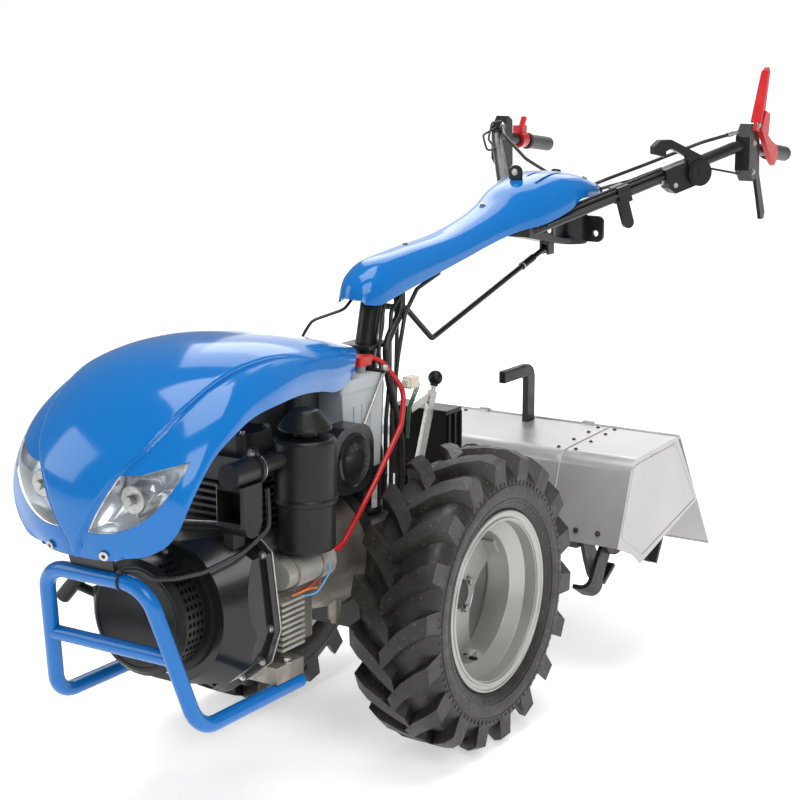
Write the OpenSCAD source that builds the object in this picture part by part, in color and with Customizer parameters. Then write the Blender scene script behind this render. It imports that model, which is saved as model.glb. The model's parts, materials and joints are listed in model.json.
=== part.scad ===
// Walking tractor with a rear rotary tiller.
// Millimetres. +Z is up, the tractor drives towards -Y and its left side is +X.
// The modules are written in the axle frame: the wheels' axis is y = 0, z = 0.

/* [Wheels] */
// Diameter of a tyre over its lugs
tyre_d = 562; // [530:1:600]
// Section width of a tyre
tyre_w = 164; // [144:1:180]
// Height of a lug above the tread
lug_h = 24; // [14:1:28]
// Number of lugs on each side of a tyre
lug_count = 18; // [14:1:20]
// Diameter of a rim flange
rim_d = 340; // [320:1:360]
// Width of a rim over its flanges
rim_w = 134; // [120:1:142]
// Thickness of the rolled rim
rim_t = 4; // [3:0.5:6]
// Distance between the tyre centres
track = 470; // [456:1:520]
// Diameter of a wheel shaft
shaft_d = 40; // [30:1:48]

/* [Engine] */
// Height of the crankshaft above the wheel axis
crank_rise = 96; // [80:1:110]
// Distance from the wheel axis to the fan side of the crankcase
crankcase_front = 485; // [470:1:500]
// Distance from the wheel axis to the clutch side of the crankcase
crankcase_rear = 290; // [270:1:300]
// Width of the crankcase
crankcase_w = 200; // [180:1:220]
// Radius of the hand starter cover
recoil_r = 99; // [90:1:106]
// Diameter of the air cleaner
canister_d = 106; // [96:1:112]
// Height of the air cleaner's body
canister_h = 192; // [170:1:200]

/* [Guard and hood] */
// Diameter of the guard tube
guard_d = 27; // [22:1:32]
// Width of the guard between its skid centres
guard_w = 300; // [280:1:330]
// Height of the guard from its skids to its top bar
guard_h = 248; // [230:1:256]
// Thickness of the hood
hood_t = 4; // [3:0.5:6]

/* [Handlebar] */
// Diameter of the steering column
column_d = 42; // [34:1:50]
// Diameter of a handlebar tube
bar_d = 27; // [22:1:30]
// Distance between the grip centres
grip_spread = 628; // [580:1:680]
// Diameter of a grip
grip_d = 35; // [32:1:40]
// Length of a grip
grip_l = 118; // [100:1:130]
// Thickness of the console cover
console_t = 4; // [3:0.5:6]

/* [Tiller] */
// Width of the tiller hood
tiller_w = 700; // [680:1:760]
// Width of the hood's middle section
tiller_mid_w = 372; // [340:1:400]
// Thickness of the tiller's sheet steel
sheet_t = 3; // [2:0.5:5]
// Distance from the wheel axis to the rotor axis
rotor_y = 580; // [574:1:586]
// Height of the rotor axis above the wheel axis
rotor_rise = 0; // [-6:1:4]
// Radius of the tine tips
rotor_r = 160; // [146:1:162]
// Diameter of the rotor shaft
rotor_shaft_d = 40; // [32:1:48]
// Length of the rear flap
flap_l = 330; // [300:1:340]

/* [Hidden] */
$fn = 64;

// Running clearance of a shaft in its bore, and gap between pieces that only lie against each other
run_gap = 0.05;
seat_gap = 0.3;

axle_z = tyre_d / 2;
crank_z = crank_rise;

// Wheel section
tread_r = tyre_d / 2 - lug_h;
lug_top_w = 34;
lug_foot_w = 46;
seat_r = rim_d / 2 - 17;
well_r = seat_r - 25;
wall_t = 13;
spider_t = 6;
spider_x = -26;
spider_turn = 6;
hub_r = 58;
hub_l = 46;

// Guard
guard_r = guard_d / 2;
skid_z = -54;
skid_top = skid_z + guard_r;
skid_rear = -409;
guard_front = -682;
guard_top_w = 208;
guard_top_y = -746;
guard_bend = 52;
guard_top_z = skid_z + guard_h;

// Ends of the whole machine along Y, which centre it over the origin
nose_y = guard_top_y - 52;
grip_end_y = 1323;
mid_y = (nose_y + grip_end_y) / 2;

function unit(v) = v / norm(v);
function mirror_x(p) = [-p[0], p[1], p[2]];
function reversed(list) = [for (i = [len(list) - 1 : -1 : 0]) list[i]];
function lerp(a, b, t) = a + (b - a) * t;

// Moves a piece from the axle frame to the machine's own frame
module place() translate([0, -mid_y, axle_z]) children();

module both_sides() {
  children();
  mirror([1, 0, 0]) children();
}

// Lays a shape that was drawn along Z along X or Y
module along_x() rotate([0, 90, 0]) children();
module along_y() rotate([-90, 0, 0]) children();

// Block with rounded upright edges, centred in X and Y
module soft_block(w, l, h, r) {
  translate([-w / 2 + r, -l / 2, 0]) cube([w - 2 * r, l, h]);
  translate([-w / 2, -l / 2 + r, 0]) cube([w, l - 2 * r, h]);
  for (x = [-1, 1], y = [-1, 1]) translate([x * (w / 2 - r), y * (l / 2 - r), 0]) cylinder(r = r, h = h);
}

// Round bar between two points
module rod(a, b, r) {
  d = b - a;
  translate(a) rotate([0, acos(d[2] / norm(d)), atan2(d[1], d[0])]) cylinder(r = r, h = norm(d));
}

// Way through points whose corners are rounded to one radius
function turn(p, i) = acos(max(-1, min(1, unit(p[i] - p[i - 1]) * unit(p[i + 1] - p[i]))));
function corner(p, i, bend, steps) =
  let (a = unit(p[i] - p[i - 1]), b = unit(p[i + 1] - p[i]), whole = turn(p, i), cut = bend * tan(whole / 2),
    c = p[i] + unit(b - a) * bend / cos(whole / 2), x = unit(p[i] - a * cut - c))
  [for (k = [0 : steps]) c + bend * (x * cos(whole * k / steps) + a * sin(whole * k / steps))];
function way(p, bend, steps) =
  concat([p[0]], [for (i = [1 : len(p) - 2]) each corner(p, i, bend, steps)], [p[len(p) - 1]]);
function square_to(n, t) = unit(n - (n * t) * t);

// Round tube through points, swept as one skin with an even number of sides
module bent_tube(points, r, bend, sides = 8, steps = 4) {
  p = way(points, bend, steps);
  last = len(p) - 1;
  function leg(i) = i < 0 || i >= last ? [0, 0, 0] : unit(p[i + 1] - p[i]);
  t = [for (i = [0 : last]) unit(leg(i) + leg(i - 1))];
  start = square_to(abs(t[0][2]) < 0.9 ? [0, 0, 1] : [1, 0, 0], t[0]);
  n = [for (i = 0, m = start; i <= last; m = square_to(m, t[min(i + 1, last)]), i = i + 1) m];
  skin = [for (i = [0 : last]) for (k = [0 : sides - 1])
    p[i] + r * (n[i] * cos(360 * k / sides) + cross(t[i], n[i]) * sin(360 * k / sides))];
  function at(i, k) = i * sides + k % sides;
  walls = [for (i = [0 : last - 1]) for (k = [0 : sides - 1]) each
    [[at(i, k), at(i + 1, k + 1), at(i, k + 1)], [at(i, k), at(i + 1, k), at(i + 1, k + 1)]]];
  caps = [[for (k = [0 : sides - 1]) at(0, k)], [for (k = [sides - 1 : -1 : 0]) at(last, k)]];
  polyhedron(skin, concat(walls, caps), convexity = 8);
}

// Point of an arch over a station [half width, edge y, edge z, crown y, crown z]; t runs from -90 to 90.
// Its rise is a superellipse of power n and its plan is a parabola.
function arch(s, t, n) =
  let (k = pow(pow(abs(sin(t)), n) + pow(abs(cos(t)), n), -1 / n), across = sin(t) * k)
  [s[0] * across, lerp(s[1], s[3], 1 - across * across), lerp(s[2], s[4], cos(t) * k)];

// Shell of even thickness over a row of arches, from the front station to the rear one
module arch_shell(stations, t, n, steps) {
  rows = len(stations);
  cols = steps + 1;
  outer = [for (s = stations) [for (j = [0 : steps]) arch(s, -90 + 180 * j / steps, n)]];
  function step_u(i, j) = outer[min(i + 1, rows - 1)][j] - outer[max(i - 1, 0)][j];
  function step_v(i, j) = outer[i][min(j + 1, steps)] - outer[i][max(j - 1, 0)];
  function inward(i, j) = unit(cross(step_u(i, j), step_v(i, j)));
  inner = [for (i = [0 : rows - 1]) [for (j = [0 : steps]) outer[i][j] + t * inward(i, j)]];
  all = concat([for (r = outer) for (p = r) p], [for (r = inner) for (p = r) p]);
  base = rows * cols;
  function at(i, j, k) = k * base + i * cols + j;
  function quad(a, b, c, d) = [[a, b, c], [a, c, d]];
  skin = [for (i = [0 : rows - 2]) for (j = [0 : steps - 1]) each concat(
    quad(at(i, j, 0), at(i + 1, j, 0), at(i + 1, j + 1, 0), at(i, j + 1, 0)),
    quad(at(i, j, 1), at(i, j + 1, 1), at(i + 1, j + 1, 1), at(i + 1, j, 1)))];
  ends = [for (j = [0 : steps - 1]) each concat(
    quad(at(0, j, 0), at(0, j + 1, 0), at(0, j + 1, 1), at(0, j, 1)),
    quad(at(rows - 1, j, 0), at(rows - 1, j, 1), at(rows - 1, j + 1, 1), at(rows - 1, j + 1, 0)))];
  sides = [for (i = [0 : rows - 2]) each concat(
    quad(at(i, 0, 0), at(i, 0, 1), at(i + 1, 0, 1), at(i + 1, 0, 0)),
    quad(at(i, steps, 0), at(i + 1, steps, 0), at(i + 1, steps, 1), at(i, steps, 1)))];
  polyhedron(all, concat(skin, ends, sides), convexity = 6);
}

// Wheels

module tyre() {
  half = tyre_w / 2;
  belly_r = lerp(seat_r, tread_r, 0.55);
  bead = rim_w / 2 - rim_t;
  outer = [[seat_r + seat_gap, bead - seat_gap], [rim_d / 2 + 1, rim_w / 2 - seat_gap], [rim_d / 2 + 6,
      rim_w / 2 + 5],
    [belly_r - 18, half - 2], [belly_r, half], [belly_r + 18, half - 3], [tread_r - 10, half - 16],
        [tread_r, half - 36]];
  inner = [[tread_r - 14, half - 40], [belly_r, half - wall_t], [seat_r + seat_gap, bead - 24]];
  color("#2b2b2a") along_x() {
    rotate_extrude()
      polygon(concat(outer, [for (p = reversed(outer)) [p[0], -p[1]]],
        [for (p = reversed(inner)) [p[0], -p[1]]], inner));
    for (side = [0, 1], i = [0 : lug_count - 1])
      mirror([0, 0, side]) rotate(360 / lug_count * (i + side / 2)) lug();
  }
}

// One lug from the middle of the tread to its shoulder, as a bar with sloping sides.
// Its stations hold the place across the tread, the way along it, the foot's radius and the top's radius.
module lug() {
  half = tyre_w / 2;
  top = tyre_d / 2;
  stations = [[-10, 0, tread_r - 4, top], [26, 38, tread_r - 4, top], [half - 24, 62, tread_r - 12, top - 2],
    [half - 2, 74, tread_r - 34, top - 13]];
  last = len(stations) - 1;
  function spot(s, r, side) =
    let (width = r > tread_r ? lug_top_w : lug_foot_w, a = -(s[1] + side * width / 2) * 180 / PI / tread_r)
    [r * cos(a), r * sin(a), s[0]];
  skin = [for (s = stations) each [spot(s, s[2], 1), spot(s, s[3], 1), spot(s, s[3], -1), spot(s, s[2], -1)]];
  function at(i, k) = i * 4 + k % 4;
  walls = [for (i = [0 : last - 1]) for (k = [0 : 3]) each
    [[at(i, k), at(i + 1, k + 1), at(i, k + 1)], [at(i, k), at(i + 1, k), at(i + 1, k + 1)]]];
  caps = [[for (k = [0 : 3]) at(0, k)], [for (k = [3 : -1 : 0]) at(last, k)]];
  polyhedron(skin, concat(walls, caps), convexity = 4);
}

module rim() {
  half = rim_w / 2;
  face = [[rim_d / 2, half], [seat_r, half - rim_t], [seat_r, half - 26], [well_r, half - 46]];
  back = [[well_r - rim_t, half - 44], [seat_r - rim_t, half - 24], [seat_r - rim_t, half], [rim_d / 2 - 2,
      half + rim_t]];
  color("silver") along_x() {
    rotate_extrude()
      polygon(concat(face, [for (p = reversed(face)) [p[0], -p[1]]],
        [for (p = reversed(back)) [p[0], -p[1]]], back));
    translate([0, 0, spider_x]) spider();
  }
}

// Three-armed centre plate, whose arm ends are turned up along the rim's well
module spider() {
  arm_w = 66;
  turn_up = 34;
  reach = well_r - rim_t + 0.5;
  scallop_r = 118;
  rotate(spider_turn) {
    difference() {
      cylinder(r = reach, h = spider_t);
      for (a = [60 : 120 : 300]) rotate(a) translate([scallop_r + 62, 0, -1]) cylinder(r = scallop_r,
          h = spider_t + 2);
      translate([0, 0, -1]) cylinder(r = 30, h = spider_t + 2);
    }
    for (a = [0 : 120 : 240]) rotate(a)
      intersection() {
        difference() {
          cylinder(r = reach, h = turn_up);
          translate([0, 0, -1]) cylinder(r = reach - spider_t, h = turn_up + 2);
        }
        translate([0, -arm_w / 4, 0]) cube([reach + 5, arm_w / 2, turn_up]);
      }
  }
}

module hub() {
  color("#3a3a3a") along_x() {
    translate([0, 0, spider_x - 14]) cylinder(r = hub_r, h = 14);
    translate([0, 0, spider_x - hub_l]) cylinder(r = hub_r * 0.62, h = hub_l - 14);
    translate([0, 0, spider_x]) cylinder(r = 30 - seat_gap, h = spider_t + 6);
    translate([0, 0, axle_inner - track / 2]) cylinder(d = shaft_d,
        h = track / 2 - axle_inner + spider_x - hub_l);
  }
}

// Inner end of a wheel shaft, measured from the middle of the machine
axle_inner = 84;
axle_tube_end = 140;

module wheel_left() translate([track / 2, 0, 0]) children();
module wheel_right() mirror([1, 0, 0]) wheel_left() children();

// Gearbox and clutch bell

case_front = -150;
case_rear = 200;
case_top = 130;
pto_z = 72;
column_foot = [0, -8, case_top];
bell_r = 116;

module gearbox() {
  color("#26282b") difference() {
    union() {
      rotate([90, 0, 90]) translate([0, 0, -80]) linear_extrude(160)
        polygon([[case_front + 30, -62], [60, -78], [150, -40], [case_rear, 10], [case_rear, 128], [120,
            case_top],
          [case_front + 20, case_top], [case_front + 20, 40]]);
      translate([0, case_front, crank_z]) along_y() cylinder(r = bell_r + 4, h = 24);
      translate([0, case_rear, pto_z]) along_y() cylinder(r = 74, h = 16);
      along_x() translate([0, 0, -axle_tube_end]) cylinder(d = shaft_d + 48, h = 2 * axle_tube_end);
      both_sides() along_x() translate([0, 0, 84]) cylinder(d = shaft_d + 84, h = 14);
      for (y = [-70, 30, 120]) translate([-84, y - 5, -40]) cube([168, 10, 150]);
    }
    both_sides() along_x() translate([0, 0, axle_inner - 2]) cylinder(d = shaft_d + 2 * run_gap,
        h = axle_tube_end);
  }
}

module clutch_bell() {
  color("#a8a49b") {
    translate([0, -crankcase_rear, crank_z]) along_y() cylinder(r1 = 92, r2 = bell_r,
        h = crankcase_rear + case_front);
    translate([62, case_front - 28, crank_z - bell_r - 6]) cylinder(r = 13, h = 40);
    translate([62, case_front - 28, crank_z - bell_r - 14]) cylinder(r = 8, h = 10);
  }
}

// Engine

foot_z = skid_top;

module crankcase() {
  w = crankcase_w;
  color("#9b968c") {
    translate([0, -(crankcase_front + crankcase_rear) / 2, foot_z + 26])
      soft_block(w, crankcase_front - crankcase_rear, crank_z + 96 - foot_z - 26, 18);
    translate([-guard_w / 2 - 8, -crankcase_front + seat_gap, foot_z + seat_gap]) cube([guard_w + 16, 76,
        30]);
      }
}

module cylinder_head() {
  base = crank_z + 96;
  color("#86827a") {
    for (i = [0 : 6]) translate([0, -386, base + 8 + i * 13]) soft_block(head_w, 150, 6, 20);
    translate([0, -386, base]) cylinder(r = 58, h = 96);
    translate([0, -386, base + 94]) soft_block(head_w, 130, 44, 14);
    translate([0, -386, base + 138]) soft_block(112, 92, 34, 18);
  }
}

// Outline of the fan housing where it meets the crankcase, seen from the front
shroud_outline = [[-96, 140], [-62, 214], [100, 232], [150, 190], [166, 60], [146, 0], [102, -38], [-70, -38],
  [-150, 20], [-160, 96]];
shroud_d = 100;

shroud_t = 7;

module shroud_form(inset) intersection() {
  linear_extrude(shroud_d) offset(delta = -8 - inset) polygon(shroud_outline);
  translate([0, crank_z, 0]) cylinder(r1 = 196 - inset, r2 = 128 - inset, h = shroud_d);
}

module shroud_place() translate([0, -crankcase_front, 0]) rotate([90, 0, 0]) children();

module fan_shroud() {
  color("#1d1e20") shroud_place() difference() {
    union() {
      linear_extrude(14) polygon(shroud_outline);
      shroud_form(0);
    }
    translate([0, 0, -shroud_t]) shroud_form(shroud_t);
  }
}

recoil_y = -crankcase_front - shroud_d;
recoil_l = 66;

module recoil_cover() {
  color("#202124") translate([0, recoil_y, crank_z]) rotate([90, 0, 0]) difference() {
    rotate(200) union() {
      cylinder(r = recoil_r + 12, h = 10);
      cylinder(r = recoil_r, h = recoil_l - 8);
      translate([0, 0, recoil_l - 8]) cylinder(r1 = recoil_r, r2 = recoil_r - 10, h = 8);
    }
    for (ring = [0 : 3], a = [-66 : 8.25 : 66])
      translate([0, 0, 16 + ring * 10]) rotate(a) translate([recoil_r - 9, -3.5, 0]) cube([20, 7, 6.5]);
  }
  color("#202124") translate([-recoil_r - 4, recoil_y - 54, crank_z + 2]) cube([12, 30, 32]);
}

module recoil_grip() {
  pull = [-recoil_r - 49, recoil_y - 52, crank_z + 31];
  color("#18181a") {
    rod([-recoil_r - 7.5, recoil_y - 40, crank_z + 17], pull, 8);
    rod(pull + [-27, 3, -28], pull + [27, -1, 28], 13);
  }
}

canister_x = 150;
canister_y = -386;
canister_z = 174;

module air_cleaner() {
  r = canister_d / 2;
  color("#232422") translate([canister_x, canister_y, canister_z]) rotate_extrude()
    polygon([[0, 0], [r - 6, 0], [r - 3, 4], [r - 3, 80], [r + 2, 82], [r + 2, 90], [r, 92], [r,
        canister_h - 5],
      [r - 5, canister_h], [20, canister_h + 3], [20, canister_h + 16], [46, canister_h + 15], [44,
          canister_h + 21],
      [24, canister_h + 45], [18, canister_h + 48], [0, canister_h + 48]]);
}

intake_z = canister_z + 162;
intake_x = canister_x - 12;
head_w = 150;

intake_y = canister_y - canister_d / 2;

// Flange, bowl and branch of the intake, with a gap round them where they are cut from a neighbour
module intake_bowl(gap) {
  translate([intake_x, intake_y - 78 - gap, intake_z]) along_y() {
    cylinder(r = 25 + gap, h = 7 + 2 * gap);
    for (side = [-1, 1]) translate([0, side * 26, 0]) cylinder(r = 10 + gap, h = 7 + 2 * gap);
  }
  translate([intake_x, intake_y - 140 - gap, intake_z]) along_y() cylinder(r = 21 + gap, h = 64);
  rod([intake_x, intake_y - 116, intake_z], [60, -420, intake_z - 30], 18 + gap);
}

module intake_pipe() {
  color("#3b3833") difference() {
    union() {
      translate([intake_x, intake_y - 72, intake_z]) along_y() cylinder(r = 13, h = 90);
      intake_bowl(0);
    }
    translate([canister_x, canister_y, 0]) cylinder(r = canister_d / 2 + seat_gap, h = 600);
    translate([-head_w / 2, -600, 200]) cube([head_w + seat_gap, 400, 300]);
  }
}

module air_duct() {
  w = 55;
  l = 58;
  color("#1b1c1e") difference() {
    translate([131, -542, 230]) {
      translate([0, 0, 20]) soft_block(w, l, 68, 6);
      translate([0, 0, 22]) along_x() cylinder(r = 22, h = w, center = true);
      translate([-31, -4, -25]) cube([20, 30, 46]);
    }
    translate([131 - w / 2 + 4, -542 - l / 2 - 1, 258]) cube([w - 8, l - 14, 52]);
    intake_bowl(seat_gap);
    shroud_place() shroud_form(-seat_gap);
  }
}

muffler_x = [106, 148];
muffler_y = [-300, -176];
muffler_z = [236, 356];

module muffler() {
  w = muffler_x[1] - muffler_x[0];
  color("#2a2a29") {
    translate([muffler_x[0], lerp(muffler_y[0], muffler_y[1], 0.5), lerp(muffler_z[0], muffler_z[1],
        0.5)]) along_x() {
      soft_block(muffler_z[1] - muffler_z[0], muffler_y[1] - muffler_y[0], w, 42);
      rotate_extrude() polygon([[0, 0], [48, 0], [48, w + 2], [44, w + 5], [30, w + 2], [18, w + 5], [0,
          w + 5]]);
    }
    difference() {
      rod([60, -344, 300], [muffler_x[0] + 8, -290, 310], 15);
      translate([-head_w / 2, -600, 200]) cube([head_w + seat_gap, 400, 300]);
    }
  }
}

starter_x = 138;
starter_z = 138;

module starter_motor() {
  color("#b9b7b2") translate([starter_x, -452, starter_z]) along_y() {
    cylinder(r = 25, h = 30);
    translate([0, 0, 28]) cylinder(r = 28, h = 66);
    translate([0, 0, 94]) cylinder(r = 30, h = 34);
    translate([0, 0, 128]) cylinder(r = 23, h = 12);
  }
  color("#b9b7b2") translate([crankcase_w / 2 + seat_gap, -440, starter_z - 22]) cube([20, 54, 44]);
}

module regulator() {
  color("#55504a") translate([112, -462, 6]) {
    cube([10, 64, 92]);
    for (i = [0 : 8]) translate([8, 0, 4 + i * 10]) cube([34, 64, 5]);
    translate([8, 26, 2]) cube([24, 12, 88]);
  }
  color("#55504a") translate([crankcase_w / 2 + seat_gap, -440, 40]) cube([14, 22, 22]);
}

module fuel_tank() {
  color("#1a1b20") {
    translate([-20, -247, 330]) soft_block(160, 88, 104, 24);
    translate([-50, -247, 434]) cylinder(r = 28, h = 16);
  }
  color("#1a1b20") translate([0, -247, 199.4]) soft_block(60, 40, 132, 10);
}

// Battery

battery_w = 197;
battery_l = 132;
battery_h = 193;
battery_taper = 12;
battery_at = [-6, -128, 226];
tray_t = 4;
terminal_x = 66;
terminal_y = 42;

module battery() {
  lid_h = 22;
  rim = battery_l / 2;
  foot = rim - battery_taper;
  color("#aeb6bb") translate(battery_at) {
    rotate([90, 0, 90]) translate([0, 0, -battery_w / 2]) linear_extrude(battery_w)
      polygon([[-foot, 0], [foot, 0], [rim, battery_h - lid_h], [-rim, battery_h - lid_h]]);
    for (side = [-1, 1], y = [-26, 0, 26]) translate([side * battery_w / 2, y, battery_h / 2 - 10])
      cube([5, 10, battery_h - 80], center = true);
    translate([0, 0, battery_h - lid_h]) soft_block(battery_w + 4, battery_l + 4, lid_h, 6);
    for (x = [-terminal_x, terminal_x]) translate([x, terminal_y, battery_h]) cylinder(r = 9, h = 12);
  }
}

// Post that carries the tray on the round front flange of the gearbox
module tray_post() difference() {
  translate([-50, case_front + 2 - battery_at[1], -60]) cube([100, 20, 60 - tray_t]);
  translate([0, case_front - 40 - battery_at[1], crank_z - battery_at[2]]) along_y()
    cylinder(r = bell_r + 4 + seat_gap, h = 100);
}

module battery_tray() {
  rod_x = battery_at[0] + battery_w / 2 + 6.5;
  color("#1d1d1e") translate([battery_at[0], battery_at[1], battery_at[2]]) {
    translate([-battery_w / 2 - 6, -battery_l / 2 - 6, -tray_t]) cube([battery_w + 12, battery_l + 12,
        tray_t]);
    both_sides() translate([battery_w / 2 + 0.6, -battery_l / 2, -tray_t]) cube([4, battery_l, 26]);
    translate([-battery_at[0], 0, 0]) tray_post();
    translate([battery_w / 2 - 2, -battery_l / 2 - 34, -tray_t]) cube([14, 40, tray_t]);
  }
  color("#c9ccce") rod([rod_x, battery_at[1] - 93, battery_at[2] - 6], [rod_x, battery_at[1] + 62,
      battery_at[2] + 196], 3);
}

module terminal_cap() {
  color("#d02a24")
    translate([battery_at[0] + terminal_x, battery_at[1] + terminal_y,
        battery_at[2] + battery_h + 12 + seat_gap]) {
      soft_block(30, 38, 16, 8);
      translate([0, 10, 8]) along_y() cylinder(r = 7, h = 22);
    }
}

lead_r = 5;
lead_points = [[60, -50.8, 439], [70, -30, 430], [96, 6, 372], [108, -24, 312], [124, -140, 226], [138,
    -262, 146],
  [138, -310.8, 140]];

module starter_lead() color("#c8242a") bent_tube(lead_points, lead_r, 26);

// Guard, hood and lamps

guard_left = [[guard_w / 2, skid_rear, skid_z], [guard_w / 2, guard_front, skid_z],
  [guard_top_w / 2, guard_top_y, guard_top_z]];
crossbar = lerp(guard_left[1], guard_left[2], 0.5);

module guard() {
  color("#1763c6") {
    bent_tube(concat(guard_left, [for (p = reversed(guard_left)) mirror_x(p)]), guard_r, guard_bend, 16, 6);
    rod(mirror_x(crossbar), crossbar, guard_r - 1);
  }
}

// Hood stations from the nose's lower edge to the rear: half width, edge y, edge z, crown y, crown z.
// Their y is measured from the nose.
hood_stations = [
  [78, 26, 240, 10, 234], [118, 33, 247, 3, 264], [150, 46, 264, 0, 299], [170, 55, 290, 2, 334],
  [179, 63, 317, 12, 369], [185, 86, 355, 32, 404], [188, 123, 395, 63, 441], [187, 176, 422, 108, 479],
  [180, 236, 439, 173, 511], [170, 318, 444, 253, 529], [152, 403, 441, 348, 533], [134, 483, 429, 448, 524],
  [120, 548, 416, 543, 507], [104, 608, 420, 633, 488], [92, 646, 434, 736, 461]
];
hood_n = 3;

module hood_shell() translate([0, nose_y, 0]) arch_shell(hood_stations, hood_t, hood_n, 28);

// Leaf of a lamp seen from the front: straight inner and upper edges over one long arc
module lamp_leaf(inset) {
  arc_mid = [45, 407];
  arc_r = 128;
  translate([0, nose_y + 100, 0]) rotate([90, 0,
      0]) linear_extrude(110) offset(delta = -inset) intersection() {
    polygon([[26, 276], [79, 370], [114, 374], [178, 395], [178, 270], [26, 270]]);
    translate(arc_mid) circle(r = arc_r);
  }
}

module hood() color("#1668cf") difference() {
  hood_shell();
  both_sides() lamp_leaf(0);
}

module nose_bracket() {
  w = 92;
  color("#1d1d1e") rotate([90, 0, 90]) translate([0, 0, -w / 2]) linear_extrude(w)
    polygon([[guard_top_y - 4, guard_top_z + guard_r + seat_gap], [guard_top_y + 6,
        guard_top_z + guard_r + seat_gap],
      [nose_y + 34, 262], [nose_y + 30, 262]]);
}

module headlamps() color("#d8dde0") intersection() {
  hood_shell();
  both_sides() lamp_leaf(seat_gap);
}

// Column, console and handlebar

column_top = [0, 46, 548];

module column() {
  color("#1a1a1b") {
    translate(column_foot) cylinder(r = 46, h = 14);
    rod(column_foot + [0, 0, 4], [0, 14, 420], column_d / 2 + 4);
    rod([0, 14, 420], column_top, column_d / 2);
    translate([-34, -20, 444]) cube([68, 76, 8]);
  }
}

// Console stations from the front to the rear
console_stations = [
  [30, -26, 531, -36, 540], [42, -6, 528, -28, 566], [48, 14, 530, -4, 588], [50, 60, 540, 40, 606],
  [50, 150, 556, 140, 618], [50, 300, 582, 295, 632], [52, 420, 604, 410, 654], [62, 500, 618, 490, 676],
  [82, 580, 628, 566, 704], [94, 660, 648, 650, 722], [96, 704, 668, 700, 725], [96, 750, 671, 750, 722],
  [90, 806, 668, 806, 708], [82, 824, 668, 824, 700]
];
// Lever gates in the console's hump: place across, front end and length
gates = [[-44, 592, 74], [4, 632, 62], [42, 600, 112]];
gate_w = 7;

module console() color("#1a6fd6") difference() {
  arch_shell(console_stations, console_t, 2.8, 20);
  for (g = gates) translate([g[0] - gate_w / 2, g[1], 640]) cube([gate_w, g[2], 120]);
}

module console_levers() {
  tab_w = 30;
  color("#161617") {
    translate([-8, 606, 713.8]) rotate([90, 0, 0]) linear_extrude(8, center = true) {
      translate([-tab_w / 2, 0]) square([tab_w, 16]);
      translate([0, 16]) circle(r = tab_w / 2);
    }
    translate([0, 772, 716.5]) rotate([-14, 0, 0]) translate([0, 0, seat_gap]) cylinder(r1 = 14, r2 = 9,
        h = 8);
    arch_cap();
  }
}

// Black end piece that closes the console's rear
module arch_cap() {
  stations = [for (s = [len(console_stations) - 2, len(console_stations) - 1]) console_stations[s]];
  tail = stations[1];
  translate([0, tail[1] + seat_gap, tail[2]]) rotate([90, 0, 180]) linear_extrude(26)
    polygon([[4 - tail[0], 0], [tail[0] - 4, 0], [tail[0] - 8, 14], [tail[0] - 26, 25], [0, 31],
        [26 - tail[0], 25],
      [8 - tail[0], 14]]);
}

drum_y = 845;
drum_r = 38;
clamp_z = 560;
plate_w = 154;
plate_hole_x = 59;
plate_hole_z = 579;
saddle_y = 590;

module bar_clamp() {
  color("#19191a") difference() {
    union() {
      translate([-30, 10, 530]) cube([60, 76, 44]);
      rotate([90, 0, 90]) translate([0, 0, -24]) linear_extrude(48)
        polygon([[20, 562], [saddle_y, 636], [saddle_y + 50, 642], [saddle_y + 50, 652], [20, 574]]);
      translate([-36, saddle_y, 594]) cube([72, 50, 50]);
      rotate([90, 0, 90]) translate([0, 0, -24]) linear_extrude(48)
        polygon([[saddle_y, 594], [saddle_y + 50, 604], [770, 574], [drum_y, 570], [drum_y, clamp_z], [765,
            562]]);
      translate([0, drum_y, clamp_z - 4]) cylinder(r = drum_r, h = 78);
      translate([0, drum_y + 15, plate_hole_z + 10]) rotate([90, 0, 0]) soft_block(plate_w, 58, 8, 14);
      both_sides() translate([rod_r + seat_gap, 722, 542]) cube([5, 26, 34]);
    }
    both_sides() translate([plate_hole_x, drum_y + 20, plate_hole_z]) rotate([90, 0, 0]) cylinder(r = 7,
        h = 30);
    rod([0, 14, 420], column_top, column_d / 2 + seat_gap);
    bar_tube(bar_d / 2 + seat_gap);
  }
}

rod_r = 6;

module lock_rod() {
  color("#1b1b1c") bent_tube([[0, 61, 516], [0, 160, 498], [0, 257, 424], [0, 712, 552], [0, 742, 558]],
      rod_r, 14);
}

bar_drop = 20;
bar_end = [grip_spread / 2, grip_end_y - 2, 737];
bar_knee = [grip_spread / 2, 1160, bar_end[2] + bar_drop];
arm_in = [26, 613, 607];
arm_out = [grip_spread / 2 - 10, 1041, 768];
bar_points = [arm_in, arm_out, [grip_spread / 2, 1092, 769], bar_knee, bar_end];

// Frame of a piece that sits on the left arm: X runs up the arm, Y points to the middle of the machine
arm_dir = unit(arm_out - arm_in);
module on_arm(part) translate(lerp(arm_in, arm_out, part))
  rotate([0, -asin(arm_dir[2]), atan2(arm_dir[1], arm_dir[0])]) children();

// One tube from the left grip to the right one
module bar_tube(r) bent_tube(concat(reversed(bar_points), [for (p = bar_points) mirror_x(p)]), r, 30, 14, 4);

module handlebars() color("#161617") bar_tube(bar_d / 2);

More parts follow.
